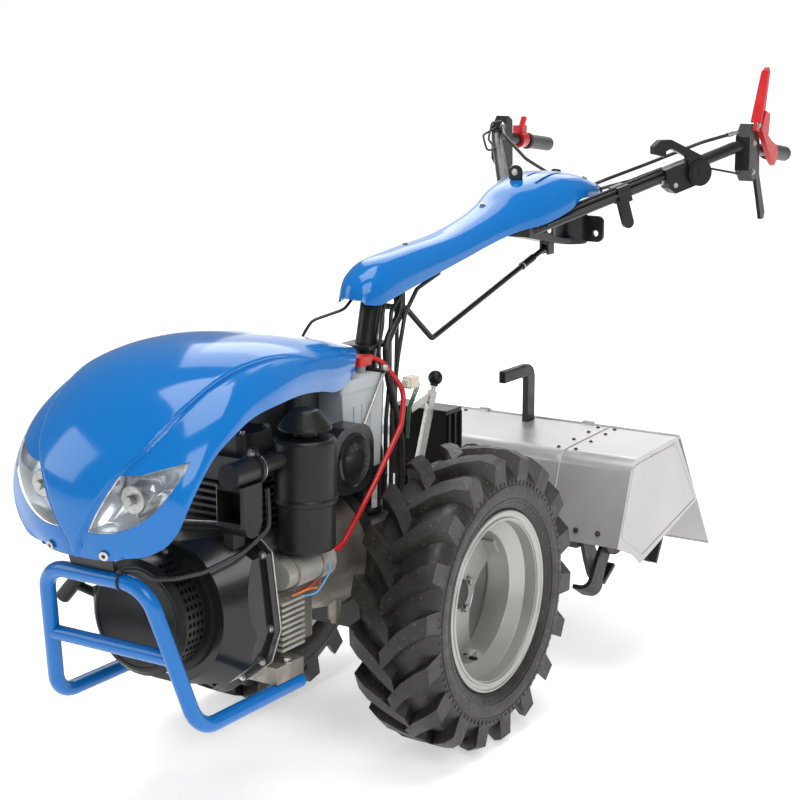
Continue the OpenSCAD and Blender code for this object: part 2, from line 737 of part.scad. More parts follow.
module grips() {
  slope = atan2(-bar_drop, bar_end[1] - bar_knee[1]);
  color("#3a3a3b") both_sides() translate([grip_spread / 2, grip_end_y, bar_end[2]]) rotate([-90 + slope,
      0, 0])
    rotate_extrude() polygon([[0, 0], [0, -1.5], [bar_d / 2 + seat_gap, -1.5], [bar_d / 2 + seat_gap,
        -grip_l],
      [grip_d / 2 + 3, -grip_l], [grip_d / 2 + 3, -grip_l + 6], [grip_d / 2, -grip_l + 8], [grip_d / 2, -6],
      [grip_d / 2 - 5, 0]]);
}

module clutch_lever() {
  lever_t = 8;
  color("#d3262a") translate([grip_spread / 2 + bar_d / 2 + 4, 0, 0]) rotate([90, 0, 90]) {
    linear_extrude(lever_t) {
      polygon([[1074, 806], [1096, 800], [1120, 826], [1145, 928], [1122, 932]]);
      translate([1133, 930]) circle(r = 12);
    }
    linear_extrude(lever_t + 4)
      polygon([[1098, 806], [1122, 846], [1146, 838], [1140, 790], [1164, 776], [1198, 764], [1202, 738],
          [1182, 720],
        [1162, 734], [1120, 782]]);
  }
}

module brake_levers() {
  bracket_w = 34;
  color("#202021") difference() {
    union() {
      both_sides() translate([grip_spread / 2 - bracket_w / 2, 0, 0]) rotate([90, 0, 90]) {
        linear_extrude(bracket_w) polygon([[1062, 716], [1090, 690], [1108, 700], [1104, 808], [1086, 818],
            [1062, 790]]);
        translate([0, 0, bracket_w - 10]) linear_extrude(8)
          polygon([[1100, 800], [1122, 800], [1130, 704], [1172, 614], [1166, 600], [1150, 600], [1128,
              654], [1106, 704]]);
      }
      translate([grip_spread / 2 + bracket_w / 2 - 4, 1082, 808]) along_x()
        cylinder(r = 6, h = bar_d / 2 + 8 - bracket_w / 2 - seat_gap);
      on_arm(mid_lever_at) {
        translate([-15, -bar_d / 2 - 6, -bar_d / 2 - 5]) cube([30, bar_d + 12, bar_d + 10]);
        translate([-24, -4, bar_d / 2]) rotate([0, 28, 0]) cube([48, 8, 7]);
        translate([-13, -5, -bar_d / 2 - 52]) cube([26, 10, 50]);
        translate([0, 5, -bar_d / 2 - 52]) rotate([90, 0, 0]) cylinder(r = 13, h = 10);
      }
    }
    bar_tube(bar_d / 2 + seat_gap);
  }
}

// Places of the throttle pod and the short hand lever, as shares of the left arm
throttle_at = 0.714;
mid_lever_at = 0.43;

module throttle() {
  pod_t = 34;
  disc_r = 29;
  color("#262626") difference() {
    on_arm(throttle_at) translate([0, 8, 0]) rotate([90, 0, 0]) {
      linear_extrude(pod_t) polygon([[-46, -24], [-34, -40], [52, -40], [52, 18], [-46, 18]]);
      translate([32, -14, 0]) cylinder(r = disc_r, h = pod_t + 10);
      translate([0, 0, pod_t - 12]) linear_extrude(18)
        polygon([[52, 4], [46, 22], [-16, 78], [-42, 86], [-62, 78], [-66, 62], [-52, 54], [-40, 46], [-36,
            58],
          [-22, 60], [14, 28], [8, 0]]);
    }
    bar_tube(bar_d / 2 + seat_gap);
  }
}

module stop_switch() {
  at = [-grip_spread / 2, 1172, 757];
  color("#c92a26") difference() {
    translate(at) {
      along_y() cylinder(r = bar_d / 2 + 7, h = 28, center = true);
      translate([0, 0, 26]) cube([26, 24, 16], center = true);
      translate([0, 14, 40]) rotate([-30, 0, 0]) cube([12, 8, 30], center = true);
    }
    bar_tube(bar_d / 2 + seat_gap);
  }
}

module control_cables() {
  foot = case_top + seat_gap;
  color("#161616") {
    bent_tube([[28, 99, 552], [32, 96, 505], [45, 18, 452], [47, 28, 384], [50, 64, 260], [50, 64, foot]],
        8, 30, 8, 2);
    bent_tube([[14, 100, 548], [16, 104, 470], [30, 76, 330], [26, 88, 210], [26, 88, foot]], 4, 30, 8, 2);
    bent_tube([[-20, 110, 548], [-22, 112, 470], [-30, 80, 330], [-25, 110, 220], [-25, 110, foot]], 4, 30,
        8, 2);
    bent_tube([[-20, 7.6, 536], [-26, -12, 516], [-60, -70, 500], [-72, -86, 470],
      [-72, -86, battery_at[2] + battery_h + 12 + seat_gap]], 3, 14, 8, 2);
    bent_tube([[58, guard_top_y, 212], [62, guard_top_y + 30, 206], [70, guard_top_y + 56, 184], [86,
        guard_top_y + 94, 178], [114, -618, 184], [150, -562, 208],
      [164, -506, 238], [150, -492, 300]], 4, 16, 8, 2);
    both_sides() bent_tube([[46, 850.9, 684], [48, 884, 690], [150, 908, 732], [arm_out[0] - 54, 980, 780],
        [arm_out[0] - 4, 1060, 800]],
      4, 24, 8, 2);
  }
}

module gear_lever() {
  foot = [44, 112, case_top + seat_gap];
  lean = -21;
  color("#b7babd") {
    translate(foot) cylinder(r = 14, h = 16);
    translate(foot) rotate([lean, 0, 0]) {
      translate([-4, -11, 6]) cube([8, 22, 212]);
      translate([0, 0, 214]) cylinder(r = 5, h = 20);
      translate([-4, -9, 196]) rotate([-28 - lean, 0, 0]) mirror([0, 1, 0]) rotate([-40, 0, 0]) cube([5,
          62, 16]);
    }
  }
  color("#101011") translate(foot) rotate([lean, 0, 0]) translate([0, 0, 244]) sphere(r = 14);
}

// Tiller

hitch_y = 245;
hitch_l = 58;
hitch_top = 292;

module hitch_box() {
  rib_t = 5;
  color("#141415") translate([0, hitch_y - 40, 0]) {
    translate([-62, 0, 150]) cube([124, 8, hitch_top - 150]);
    both_sides() translate([54, 0, 150]) cube([8, hitch_l, hitch_top - 156]);
    both_sides() for (y = [8, 30, hitch_l - rib_t]) translate([62, y, 162]) cube([6, rib_t, hitch_top - 170]);
    translate([-66, 0, hitch_top - 9]) cube([132, hitch_l, 9]);
    translate([0, case_rear + 56 - hitch_y, pto_z]) along_y() cylinder(r = 74, h = 20);
    translate([-54, case_rear + 58 - hitch_y, pto_z + 50]) cube([108, hitch_l - 13, 32]);
  }
}

case_x = 36;
hood_front = [406, 5];
hood_crown = [467, 175];
hood_back = [683, 183];
wing_rear = [798, 22];
wing_tip = [516, -53];

module tiller_case() {
  color("#1a1a1b") {
    translate([0, case_rear + 36 + seat_gap, pto_z]) along_y() cylinder(r = 46, h = 300);
    rotate([90, 0, 90]) translate([0, 0, -case_x]) difference() {
      linear_extrude(2 * case_x) hull() {
        translate([rotor_y, rotor_rise]) circle(r = 62, $fn = 32);
        translate([rotor_y - 40, pto_z + 6]) circle(r = 66, $fn = 32);
      }
      translate([rotor_y, rotor_rise, -1]) cylinder(d = rotor_shaft_d + 2 * run_gap, h = 2 * case_x + 2);
    }
  }
}

// Folded sheet seen from the side: front wall, top and a lip at the rear
module hood_sheet(w) {
  t = sheet_t;
  rotate([90, 0, 90]) translate([0, 0, -w / 2]) linear_extrude(w)
    polygon([hood_front, hood_crown, hood_back, [hood_back[0], hood_back[1] - t],
      [hood_crown[0] + t * 0.6, hood_crown[1] - t], [hood_front[0] + t, hood_front[1]]]);
}

module tiller_hood() {
  color("#b4b6b8") difference() {
    union() {
      hood_sheet(tiller_mid_w);
      for (x = ear_x) translate([x - ear_w / 2, 0, 0]) {
        translate([0, flap_hinge[0], flap_hinge[1]]) along_x() cylinder(r = ear_r, h = ear_w);
        translate([0, hood_back[0] - 24, flap_hinge[1] - 5]) cube([ear_w,
            flap_hinge[0] - hood_back[0] + 24, 7]);
      }
    }
    translate([-tiller_w / 2, flap_hinge[0], flap_hinge[1]]) along_x() cylinder(r = flap_pin_r + run_gap,
        h = tiller_w);
    translate([0, 380, pto_z]) along_y() cylinder(r = 46 + seat_gap, h = 120);
    translate([-spur_t / 2 - 2, spur_y - 2, hood_crown[1] - 10]) cube([spur_t + 4, spur_w + 4, 30]);
  }
}

module tiller_wings() {
  color("#bfc1c2") both_sides() {
    w = (tiller_w - tiller_mid_w) / 2;
    translate([tiller_mid_w / 2 + w / 2, 0, 0]) hood_sheet(w);
    translate([tiller_w / 2 - sheet_t, 0, 0]) rotate([90, 0, 90]) linear_extrude(sheet_t)
      polygon([hood_front, hood_crown, hood_back, wing_rear, wing_tip, [wing_tip[0] - 34, wing_tip[1] + 26]]);
  }
}

spur_t = 14;
spur_w = 32;
spur_y = 646;
spur_top = 310;
spur_bend = 34;
holder_h = 40;

// Underside of the tiller hood's top at a place along the machine
function hood_under(y) = lerp(hood_crown[1], hood_back[1],
    (y - hood_crown[0]) / (hood_back[0] - hood_crown[0])) - sheet_t;

module depth_spur() {
  rear = spur_y + spur_w;
  holder_z = hood_under(spur_y - 12) - seat_gap - holder_h;
  color("#3c3b39") rotate([90, 0, 90]) translate([0, 0, -spur_t / 2]) linear_extrude(spur_t) difference() {
    union() {
      translate([spur_y, -axle_z + 8]) square([spur_w, axle_z - 8 + spur_top - spur_bend]);
      translate([spur_y - 104, spur_top - 26]) square([104 + spur_w - spur_bend, 26]);
      intersection() {
        translate([rear - spur_bend, spur_top - spur_bend]) circle(r = spur_bend);
        translate([spur_y - 2, spur_top - spur_bend]) square(spur_bend + 2);
      }
    }
    for (z = [-190 : 34 : 110]) translate([rear, z]) circle(r = 7);
  }
  color("#3c3b39") translate([-30, spur_y - 30, -axle_z]) cube([60, spur_w + 70, 8]);
  color("#b4b6b8") translate([-spur_t / 2 - 8, spur_y - 12, holder_z]) difference() {
    cube([spur_t + 16, spur_w + 16, holder_h]);
    translate([8 - seat_gap, 12 - seat_gap, -1])
      cube([spur_t + 2 * seat_gap, spur_w + 2 * seat_gap, holder_h + 2]);
  }
}

// The flap hangs on ears behind the hood and lies on the rear corners of the end plates
flap_hinge = [hood_back[0] + 14, hood_back[1] - 3];
flap_pin_r = 5;
ear_r = 10;
ear_w = 24;
ear_x = [-130, 130];
flap_reach = wing_rear - flap_hinge;
flap_angle = atan2(flap_reach[1], flap_reach[0]) - asin((flap_pin_r - sheet_t - seat_gap) / norm(flap_reach));

module rear_flap() {
  d = [cos(flap_angle), sin(flap_angle)];
  n = [-d[1], d[0]];
  a = flap_hinge + n * flap_pin_r;
  b = a + d * flap_l;
  w = tiller_w - 8;
  color("#b9bbbc") {
    difference() {
      rotate([90, 0, 90]) translate([0, 0, -w / 2]) linear_extrude(w)
        polygon([a, b, b - n * sheet_t, a - n * sheet_t]);
      for (x = ear_x) translate([x - ear_w / 2 - 5, flap_hinge[0], flap_hinge[1]])
        along_x() cylinder(r = ear_r + 6, h = ear_w + 10);
    }
    translate([0, flap_hinge[0], flap_hinge[1]]) along_x() cylinder(r = flap_pin_r, h = w, center = true);
  }
}

// Rotor

tine_rows = [78, 168, 258];

module rotor() {
  color("#2b2a29") translate([0, rotor_y, rotor_rise]) {
    along_x() cylinder(d = rotor_shaft_d, h = 2 * 300, center = true);
    both_sides() for (i = [0 : len(tine_rows) - 1]) {
      translate([tine_rows[i] - 5.5, 0, 0]) along_x() cylinder(r = 62, h = 11);
      for (k = [0 : 3]) rotate([k * 90 + i * 30, 0, 0]) translate([tine_rows[i], 0, 0])
        tine(i == 0 || k % 2 == 0 ? 1 : -1);
    }
  }
}

module tine(side) {
  t = 9;
  blade_l = 40;
  bend = 24;
  top = rotor_r - 5;
  intersection() {
    translate([0, 70, 0]) rotate([90, 0, 0]) linear_extrude(140) scale([side, 1]) translate([5, 0]) {
      translate([0, 30]) square([t, top - bend - 30]);
      translate([bend, top - t]) square([blade_l - bend, t]);
      intersection() {
        translate([bend, top - bend]) difference() {
          circle(r = bend);
          circle(r = bend - t);
        }
        translate([0, top - bend]) square(bend);
      }
    }
    rotate([90, 0, 90]) linear_extrude(160, center = true) difference() {
      polygon([[-20, 28], [20, 28], [30, 90], [34, rotor_r], [-24, rotor_r], [-20, 100]]);
      translate([-92, 96]) circle(r = 76);
    }
  }
}

place() gearbox();
place() clutch_bell();
place() crankcase();
place() cylinder_head();
place() fan_shroud();
place() recoil_cover();
place() recoil_grip();
place() air_cleaner();
place() intake_pipe();
place() air_duct();
place() muffler();
place() starter_motor();
place() regulator();
place() fuel_tank();
place() battery();
place() battery_tray();
place() terminal_cap();
place() starter_lead();
place() guard();
place() nose_bracket();
place() hood();
place() headlamps();
place() column();
place() console();
place() console_levers();
place() bar_clamp();
place() lock_rod();
place() handlebars();
place() grips();
place() clutch_lever();
place() brake_levers();
place() throttle();
place() stop_switch();
place() control_cables();
place() gear_lever();
place() hitch_box();
place() tiller_case();
place() tiller_hood();
place() tiller_wings();
place() depth_spur();
place() rear_flap();
place() rotor();
place() wheel_left() tyre();  // tyre_left
place() wheel_left() rim();  // rim_left
place() wheel_left() hub();  // hub_left
place() wheel_right() tyre();  // tyre_right
place() wheel_right() rim();  // rim_right
place() wheel_right() hub();  // hub_right
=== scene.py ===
# Looks of a walking tractor with a rear tiller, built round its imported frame
import json
import math

import bpy
import numpy as np
from mathutils import Matrix, Vector


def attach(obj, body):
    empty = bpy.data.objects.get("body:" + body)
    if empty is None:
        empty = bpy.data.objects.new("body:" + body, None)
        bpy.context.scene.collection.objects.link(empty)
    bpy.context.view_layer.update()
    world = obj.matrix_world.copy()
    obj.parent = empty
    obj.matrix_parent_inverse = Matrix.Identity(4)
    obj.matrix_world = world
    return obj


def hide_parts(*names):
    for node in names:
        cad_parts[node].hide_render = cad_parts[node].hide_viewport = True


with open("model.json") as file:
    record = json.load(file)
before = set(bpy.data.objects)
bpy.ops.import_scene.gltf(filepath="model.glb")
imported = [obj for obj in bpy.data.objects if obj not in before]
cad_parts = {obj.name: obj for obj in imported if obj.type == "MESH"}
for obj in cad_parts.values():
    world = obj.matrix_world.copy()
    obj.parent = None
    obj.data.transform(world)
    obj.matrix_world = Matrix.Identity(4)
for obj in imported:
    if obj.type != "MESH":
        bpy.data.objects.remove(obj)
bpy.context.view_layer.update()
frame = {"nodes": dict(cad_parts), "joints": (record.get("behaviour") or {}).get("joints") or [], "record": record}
bpy.ops.object.select_all(action="DESELECT")

SLOT_OF = {row["node"]: row["material_slot"] for row in frame["record"]["subparts"]}
BODY_OF = {node: body for body, nodes in frame["record"]["behaviour"]["bodies"].items() for node in nodes}
axle = Vector(next(j["pos_m"] for j in frame["joints"] if j["name"] == "wheel_left_spin"))


def spot(x, y, z):
    """Point in metres from millimetres measured from the wheel axle in the middle of the machine."""
    return Vector((x / 1000, axle.y + y / 1000, axle.z + z / 1000))


UP, LEFT, RIGHT, FRONT, REAR = (0, 0, 1), (1, 0, 0), (-1, 0, 0), (0, -1, 0), (0, 1, 0)
WHEELS = ((1, "wheel_left"), (-1, "wheel_right"))


# Camera, light and floor

bpy.ops.object.camera_add(location=(1.887, -3.0545, 1.332), rotation=(math.radians(78.14), 0, math.radians(32.77)))
camera = bpy.context.object
camera.data.lens = 82.03
bpy.context.scene.camera = camera


def soft_light(name, place, size, power):
    bpy.ops.object.light_add(type="AREA", location=place)
    light = bpy.context.object
    light.name = name
    light.data.size = size
    light.data.energy = power
    light.rotation_euler = (Vector((0, 0, 0.5)) - Vector(place)).to_track_quat("-Z", "Y").to_euler()


soft_light("key_light", (3.4, -2.6, 3.4), 2.6, 100)
soft_light("left_light", (-3.4, -3.2, 2.6), 2.4, 55)
soft_light("back_light", (-1.5, 3.9, 2.1), 3.4, 32)
soft_light("rear_panel", (-1.7, 3.2, 3.7), 3.0, 55)
soft_light("top_light", (0.3, -0.2, 4.4), 2.6, 105)
world = bpy.data.worlds.new("studio")
world.use_nodes = True
room = world.node_tree
dim = room.nodes["Background"]
dim.inputs["Color"].default_value = (1, 1, 1, 1)
dim.inputs["Strength"].default_value = 0.27
backdrop = room.nodes.new("ShaderNodeBackground")
backdrop.inputs["Color"].default_value = (1, 1, 1, 1)
backdrop.inputs["Strength"].default_value = 1.0
seen = room.nodes.new("ShaderNodeMixShader")
room.links.new(room.nodes.new("ShaderNodeLightPath").outputs["Is Camera Ray"], seen.inputs[0])
room.links.new(dim.outputs["Background"], seen.inputs[1])
room.links.new(backdrop.outputs["Background"], seen.inputs[2])
room.links.new(seen.outputs["Shader"], room.nodes["World Output"].inputs["Surface"])
bpy.context.scene.world = world
bpy.context.scene.view_settings.view_transform = "Standard"


# Finishes

def finish(name, base, other, rough, metal=0.0, grain=(300, 0.1, 0.0004), patches=7.0, coat=0.0, spec=0.5,
           dust=None):
    """Surface with patches of a second colour, uneven gloss, a fine grain and, where asked, specks of dust."""
    material = bpy.data.materials.new(name)
    material.use_nodes = True
    nodes, links = material.node_tree.nodes, material.node_tree.links
    shader = nodes["Principled BSDF"]
    shader.inputs["Metallic"].default_value = metal
    shader.inputs["Coat Weight"].default_value = coat
    shader.inputs["Coat Roughness"].default_value = 0.06
    shader.inputs["Specular IOR Level"].default_value = spec
    place = nodes.new("ShaderNodeTexCoord")

    def cloud(scale, detail):
        noise = nodes.new("ShaderNodeTexNoise")
        noise.inputs["Scale"].default_value = scale
        noise.inputs["Detail"].default_value = detail
        links.new(place.outputs["Object"], noise.inputs["Vector"])
        return noise.outputs["Fac"]

    tones = nodes.new("ShaderNodeValToRGB")
    tones.color_ramp.elements[0].position = 0.35
    tones.color_ramp.elements[1].position = 0.68
    tones.color_ramp.elements[0].color = (*base, 1)
    tones.color_ramp.elements[1].color = (*other, 1)
    links.new(cloud(patches, 5), tones.inputs["Fac"])
    colour = tones.outputs["Color"]
    if dust:
        specks = nodes.new("ShaderNodeValToRGB")
        specks.color_ramp.elements[0].position = 0.66
        specks.color_ramp.elements[1].position = 0.74
        links.new(cloud(150, 2), specks.inputs["Fac"])
        dusted = nodes.new("ShaderNodeMixRGB")
        dusted.inputs["Color2"].default_value = (*dust, 1)
        links.new(specks.outputs["Color"], dusted.inputs["Fac"])
        links.new(colour, dusted.inputs["Color1"])
        colour = dusted.outputs["Color"]
    links.new(colour, shader.inputs["Base Color"])
    gloss = nodes.new("ShaderNodeMapRange")
    gloss.inputs["From Min"].default_value = 0.3
    gloss.inputs["From Max"].default_value = 0.7
    gloss.inputs["To Min"].default_value = rough[0]
    gloss.inputs["To Max"].default_value = rough[1]
    links.new(cloud(patches * 4, 4), gloss.inputs["Value"])
    links.new(gloss.outputs["Result"], shader.inputs["Roughness"])
    bump = nodes.new("ShaderNodeBump")
    bump.inputs["Strength"].default_value = grain[1]
    bump.inputs["Distance"].default_value = grain[2]
    links.new(cloud(grain[0], 3), bump.inputs["Height"])
    links.new(bump.outputs["Normal"], shader.inputs["Normal"])
    return material


FINISH = {
    "blue_plastic": finish("gloss_blue_moulding", (0.002, 0.146, 0.462), (0.003, 0.159, 0.502), (0.1, 0.17),
                           grain=(90, 0.02, 0.0003), patches=3, coat=0.25, spec=0.3),
    "blue_paint": finish("gloss_blue_paint", (0.002, 0.142, 0.46), (0.003, 0.155, 0.50), (0.18, 0.28),
                         grain=(120, 0.02, 0.0003), patches=3, coat=0.2, spec=0.35),
    "silver_paint": finish("silver_grey_paint", (0.47, 0.468, 0.457), (0.52, 0.518, 0.507), (0.28, 0.4), 0.5,
                           grain=(900, 0.08, 0.0002), patches=6),
    "case_black": finish("satin_black_paint", (0.009, 0.009, 0.009), (0.015, 0.015, 0.015), (0.24, 0.38),
                         grain=(260, 0.1, 0.0003), spec=0.35),
    "engine_black": finish("gloss_black_sheet", (0.008, 0.008, 0.008), (0.013, 0.013, 0.013), (0.16, 0.28),
                           grain=(180, 0.08, 0.0003), coat=0.12, spec=0.35),
    "black_plastic": finish("matte_black_moulding", (0.008, 0.008, 0.0075), (0.013, 0.013, 0.012), (0.3, 0.44),
                            grain=(1100, 0.16, 0.0002), spec=0.28),
    "gear_alu": finish("black_casting", (0.014, 0.014, 0.014), (0.024, 0.024, 0.023), (0.34, 0.5), 0.1,
                       grain=(420, 0.3, 0.0006)),
    "cast_alu": finish("bare_die_casting", (0.36, 0.335, 0.295), (0.22, 0.195, 0.165), (0.38, 0.6), 0.75,
                       grain=(380, 0.3, 0.0006), patches=14),
    "bright_steel": finish("zinc_plating", (0.50, 0.49, 0.465), (0.40, 0.39, 0.37), (0.22, 0.36), 0.9,
                           grain=(500, 0.1, 0.0002), patches=20),
    "battery_grey": finish("light_grey_case", (0.43, 0.465, 0.48), (0.48, 0.515, 0.53), (0.34, 0.48),
                           grain=(800, 0.1, 0.0002)),
    "red_rubber": finish("red_rubber", (0.50, 0.010, 0.012), (0.58, 0.018, 0.018), (0.3, 0.42),
                         grain=(500, 0.1, 0.0002), patches=16),
    "red_plastic": finish("red_moulding", (0.50, 0.012, 0.016), (0.56, 0.018, 0.02), (0.22, 0.34),
                          grain=(300, 0.05, 0.0002), patches=12),
    "grip_rubber": finish("grip_rubber", (0.045, 0.044, 0.042), (0.07, 0.068, 0.065), (0.42, 0.56),
                          grain=(900, 0.3, 0.0003)),
    "tine_steel": finish("dark_forged_steel", (0.035, 0.034, 0.033), (0.06, 0.056, 0.052), (0.4, 0.6), 0.4,
                         grain=(240, 0.3, 0.0006), patches=12),
    "tyre_rubber": finish("tyre_rubber", (0.017, 0.0165, 0.0141), (0.034, 0.0328, 0.0279), (0.32, 0.52),
                          grain=(520, 0.3, 0.0006), patches=16, spec=0.4, dust=(0.11, 0.104, 0.088)),
    "case_iron": finish("black_iron", (0.02, 0.02, 0.021), (0.032, 0.031, 0.03), (0.45, 0.6), 0.1,
                        grain=(300, 0.35, 0.0008)),
}
cable_black = finish("cable_sheath", (0.013, 0.013, 0.013), (0.02, 0.02, 0.02), (0.35, 0.5), grain=(900, 0.1, 0.0001))
chrome = finish("lamp_reflector", (0.76, 0.79, 0.81), (0.83, 0.86, 0.88), (0.12, 0.24), 0.8,
                grain=(60, 0.1, 0.0008), patches=30)
cream = finish("cream_connector", (0.68, 0.63, 0.50), (0.74, 0.70, 0.58), (0.4, 0.5), patches=40)
orange_sheath = finish("orange_sheath", (0.65, 0.16, 0.02), (0.7, 0.2, 0.03), (0.4, 0.5), patches=40)
sky_sheath = finish("light_blue_sheath", (0.10, 0.32, 0.62), (0.14, 0.36, 0.66), (0.4, 0.5), patches=40)
green_sheath = finish("green_sheath", (0.05, 0.16, 0.08), (0.07, 0.2, 0.1), (0.4, 0.5), patches=40)
pale_floor = finish("pale_floor", (0.86, 0.86, 0.86), (0.88, 0.88, 0.88), (0.6, 0.7), patches=1)
# The floor glows more far from the machine, so that no horizon shows behind it
floor_nodes, floor_links = pale_floor.node_tree.nodes, pale_floor.node_tree.links
floor_shader = floor_nodes["Principled BSDF"]
floor_shader.inputs["Emission Color"].default_value = (1, 1, 1, 1)
reach = floor_nodes.new("ShaderNodeVectorMath")
reach.operation = "LENGTH"
glow = floor_nodes.new("ShaderNodeMapRange")
glow.inputs["From Min"].default_value = 0.9
glow.inputs["From Max"].default_value = 4.5
glow.inputs["To Min"].default_value = 0.5
glow.inputs["To Max"].default_value = 0.95
floor_links.new(floor_nodes.new("ShaderNodeTexCoord").outputs["Object"], reach.inputs[0])
floor_links.new(reach.outputs["Value"], glow.inputs["Value"])
floor_links.new(glow.outputs["Result"], floor_shader.inputs["Emission Strength"])

# Finishes of single nodes that differ from the rest of their slot
LOOK_OF = {
    "starter_motor": finish("pale_casting", (0.50, 0.485, 0.45), (0.38, 0.365, 0.33), (0.32, 0.46), 0.45,
                            grain=(420, 0.2, 0.0004), patches=18),
}
LOOK_OF["regulator"] = LOOK_OF["starter_motor"]
LOOK_OF["rim_left"] = LOOK_OF["rim_right"] = finish(
    "silver_rim_paint", (0.42, 0.412, 0.392), (0.48, 0.471, 0.449), (0.34, 0.46), 0.6,
    grain=(200, 0.03, 0.0002), patches=5)

FINISH["clear_lens"] = finish("clear_lens", (0.95, 0.97, 0.99), (0.98, 0.99, 1), (0.01, 0.06),
                              grain=(60, 0.03, 0.0003), patches=10)
lens_shader = FINISH["clear_lens"].node_tree.nodes["Principled BSDF"]
lens_shader.inputs["Transmission Weight"].default_value = 1.0
lens_shader.inputs["IOR"].default_value = 1.3

bpy.ops.mesh.primitive_plane_add(size=240)
floor = bpy.context.object
floor.name = "floor"
floor.data.materials.append(pale_floor)


# Workshop

def pick(*objects):
    """Selects only these objects and makes the first one active."""
    bpy.ops.object.select_all(action="DESELECT")
    for obj in objects:
        obj.select_set(True)
    bpy.context.view_layer.objects.active = objects[0]


def use(obj, kind, **settings):
    """Adds a modifier and applies it."""
    pick(obj)
    tool = obj.modifiers.new(kind.lower(), kind)
    for key, value in settings.items():
        setattr(tool, key, value)
    bpy.ops.object.modifier_apply(modifier=tool.name)


def clean(obj, flat=None, facing=True):
    """Merges doubles, joins flat faces where asked and turns the faces outwards."""
    pick(obj)
    bpy.ops.object.mode_set(mode="EDIT")
    bpy.ops.mesh.select_all(action="SELECT")
    bpy.ops.mesh.remove_doubles(threshold=0.00002)
    if flat:
        bpy.ops.mesh.dissolve_limited(angle_limit=math.radians(flat))
    if facing:
        bpy.ops.mesh.select_all(action="SELECT")
        bpy.ops.mesh.normals_make_consistent(inside=False)
    bpy.ops.object.mode_set(mode="OBJECT")


def smooth(obj, angle):
    """Shades a piece smooth, apart from edges sharper than the angle."""
    pick(obj)
    bpy.ops.object.shade_smooth_by_angle(angle=math.radians(angle))


def round_edges(obj, width, angle=32, segments=2):
    """Rounds the sharp edges; width is in millimetres."""
    use(obj, "BEVEL", width=width / 1000, segments=segments, limit_method="ANGLE", angle_limit=math.radians(angle))
    smooth(obj, 38)
    use(obj, "WEIGHTED_NORMAL", keep_sharp=True, weight=50)


def settle(obj, name, slot, body="chassis", nodes=(), material=None):
    """Names a finished piece, gives it the finish of its slot or another one, and lets it ride on its body."""
    obj.name = obj.data.name = name
    obj.data.materials.clear()
    obj.data.materials.append(material or FINISH[slot])
    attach(obj, body)
    if nodes:
        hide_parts(*nodes)


def join(pieces):
    pick(*pieces)
    if len(pieces) > 1:
        bpy.ops.object.join()
    return bpy.context.object


def moved(obj, matrix):
    """Copy of a piece with its own mesh, moved by a matrix."""
    twin = obj.copy()
    twin.data = obj.data.copy()
    twin.data.transform(matrix)
    bpy.context.scene.collection.objects.link(twin)
    return twin


def drop(obj):
    bpy.data.objects.remove(obj)


def aim(axis):
    """Turn that brings +Z onto an axis."""
    return Vector((0, 0, 1)).rotation_difference(Vector(axis)).to_matrix().to_4x4()


def copy_of(node):
    """Merged copy of a CAD node."""
    source = frame["nodes"][node]
    twin = bpy.data.objects.new(node + "_copy", source.data.copy())
    bpy.context.scene.collection.objects.link(twin)
    pick(twin)
    bpy.ops.mesh.customdata_custom_splitnormals_clear()
    clean(twin, flat=0.6, facing=False)
    return twin


def eased(way, spacing=5.0, passes=30):
    """Way drawn again with even steps and pulled smooth between its ends."""
    marks = [way[0]]
    for a, b in zip(way, way[1:]):
        count = max(1, round((b - a).length / spacing))
        marks += [a.lerp(b, (k + 1) / count) for k in range(count)]
    for _ in range(passes):
        marks = [marks[0]] + [(a + 2 * b + c) / 4 for a, b, c in zip(marks, marks[1:], marks[2:])] + [marks[-1]]
    return marks


def tube_mesh(points, radius, bend, sides=8, steps=8, ease=0):
    """Round tube through points whose corners are bent to one radius, all in millimetres."""
    p = [Vector(q) for q in points]
    way = [p[0]]
    for i in range(1, len(p) - 1):
        a, b = (p[i] - p[i - 1]).normalized(), (p[i + 1] - p[i]).normalized()
        whole = a.angle(b)
        if whole < 0.02:
            way.append(p[i])
            continue
        middle = p[i] + (b - a).normalized() * bend / math.cos(whole / 2)
        x = (p[i] - a * bend * math.tan(whole / 2) - middle).normalized()
        way += [middle + bend * (x * math.cos(whole * k / steps) + a * math.sin(whole * k / steps))
                for k in range(steps + 1)]
    way.append(p[-1])
    if ease:
        way = eased(way, passes=ease)
    curve = bpy.data.curves.new("tube", "CURVE")
    curve.dimensions = "3D"
    curve.bevel_depth = radius / 1000
    curve.bevel_resolution = sides // 2
    curve.use_fill_caps = True
    spline = curve.splines.new("POLY")
    spline.points.add(len(way) - 1)
    for point, at in zip(spline.points, way):
        point.co = (*spot(*at), 1)
    obj = bpy.data.objects.new("tube", curve)
    bpy.context.scene.collection.objects.link(obj)
    pick(obj)
    bpy.ops.object.convert(target="MESH")
    obj = bpy.context.object
    clean(obj)
    smooth(obj, 50)
    return obj


def block(lo, hi, rounding):
    """Rounded block between two corners in millimetres."""
    bpy.ops.mesh.primitive_cube_add(size=1)
    obj = bpy.context.object
    a, b = spot(*lo), spot(*hi)
    obj.data.transform(Matrix.Translation((a + b) / 2) @ Matrix.Diagonal((*(b - a), 1)))
    round_edges(obj, rounding, segments=3)
    return obj


def disc(at, axis, radius, height, rounding=0.6, sides=32):
    """Rounded disc that stands on a point along an axis, in millimetres."""
    bpy.ops.mesh.primitive_cylinder_add(vertices=sides, radius=radius / 1000, depth=height / 1000)
    obj = bpy.context.object
    obj.data.transform(Matrix.Translation(spot(*at)) @ aim(axis) @ Matrix.Translation((0, 0, height / 2000)))
    round_edges(obj, rounding)
    return obj


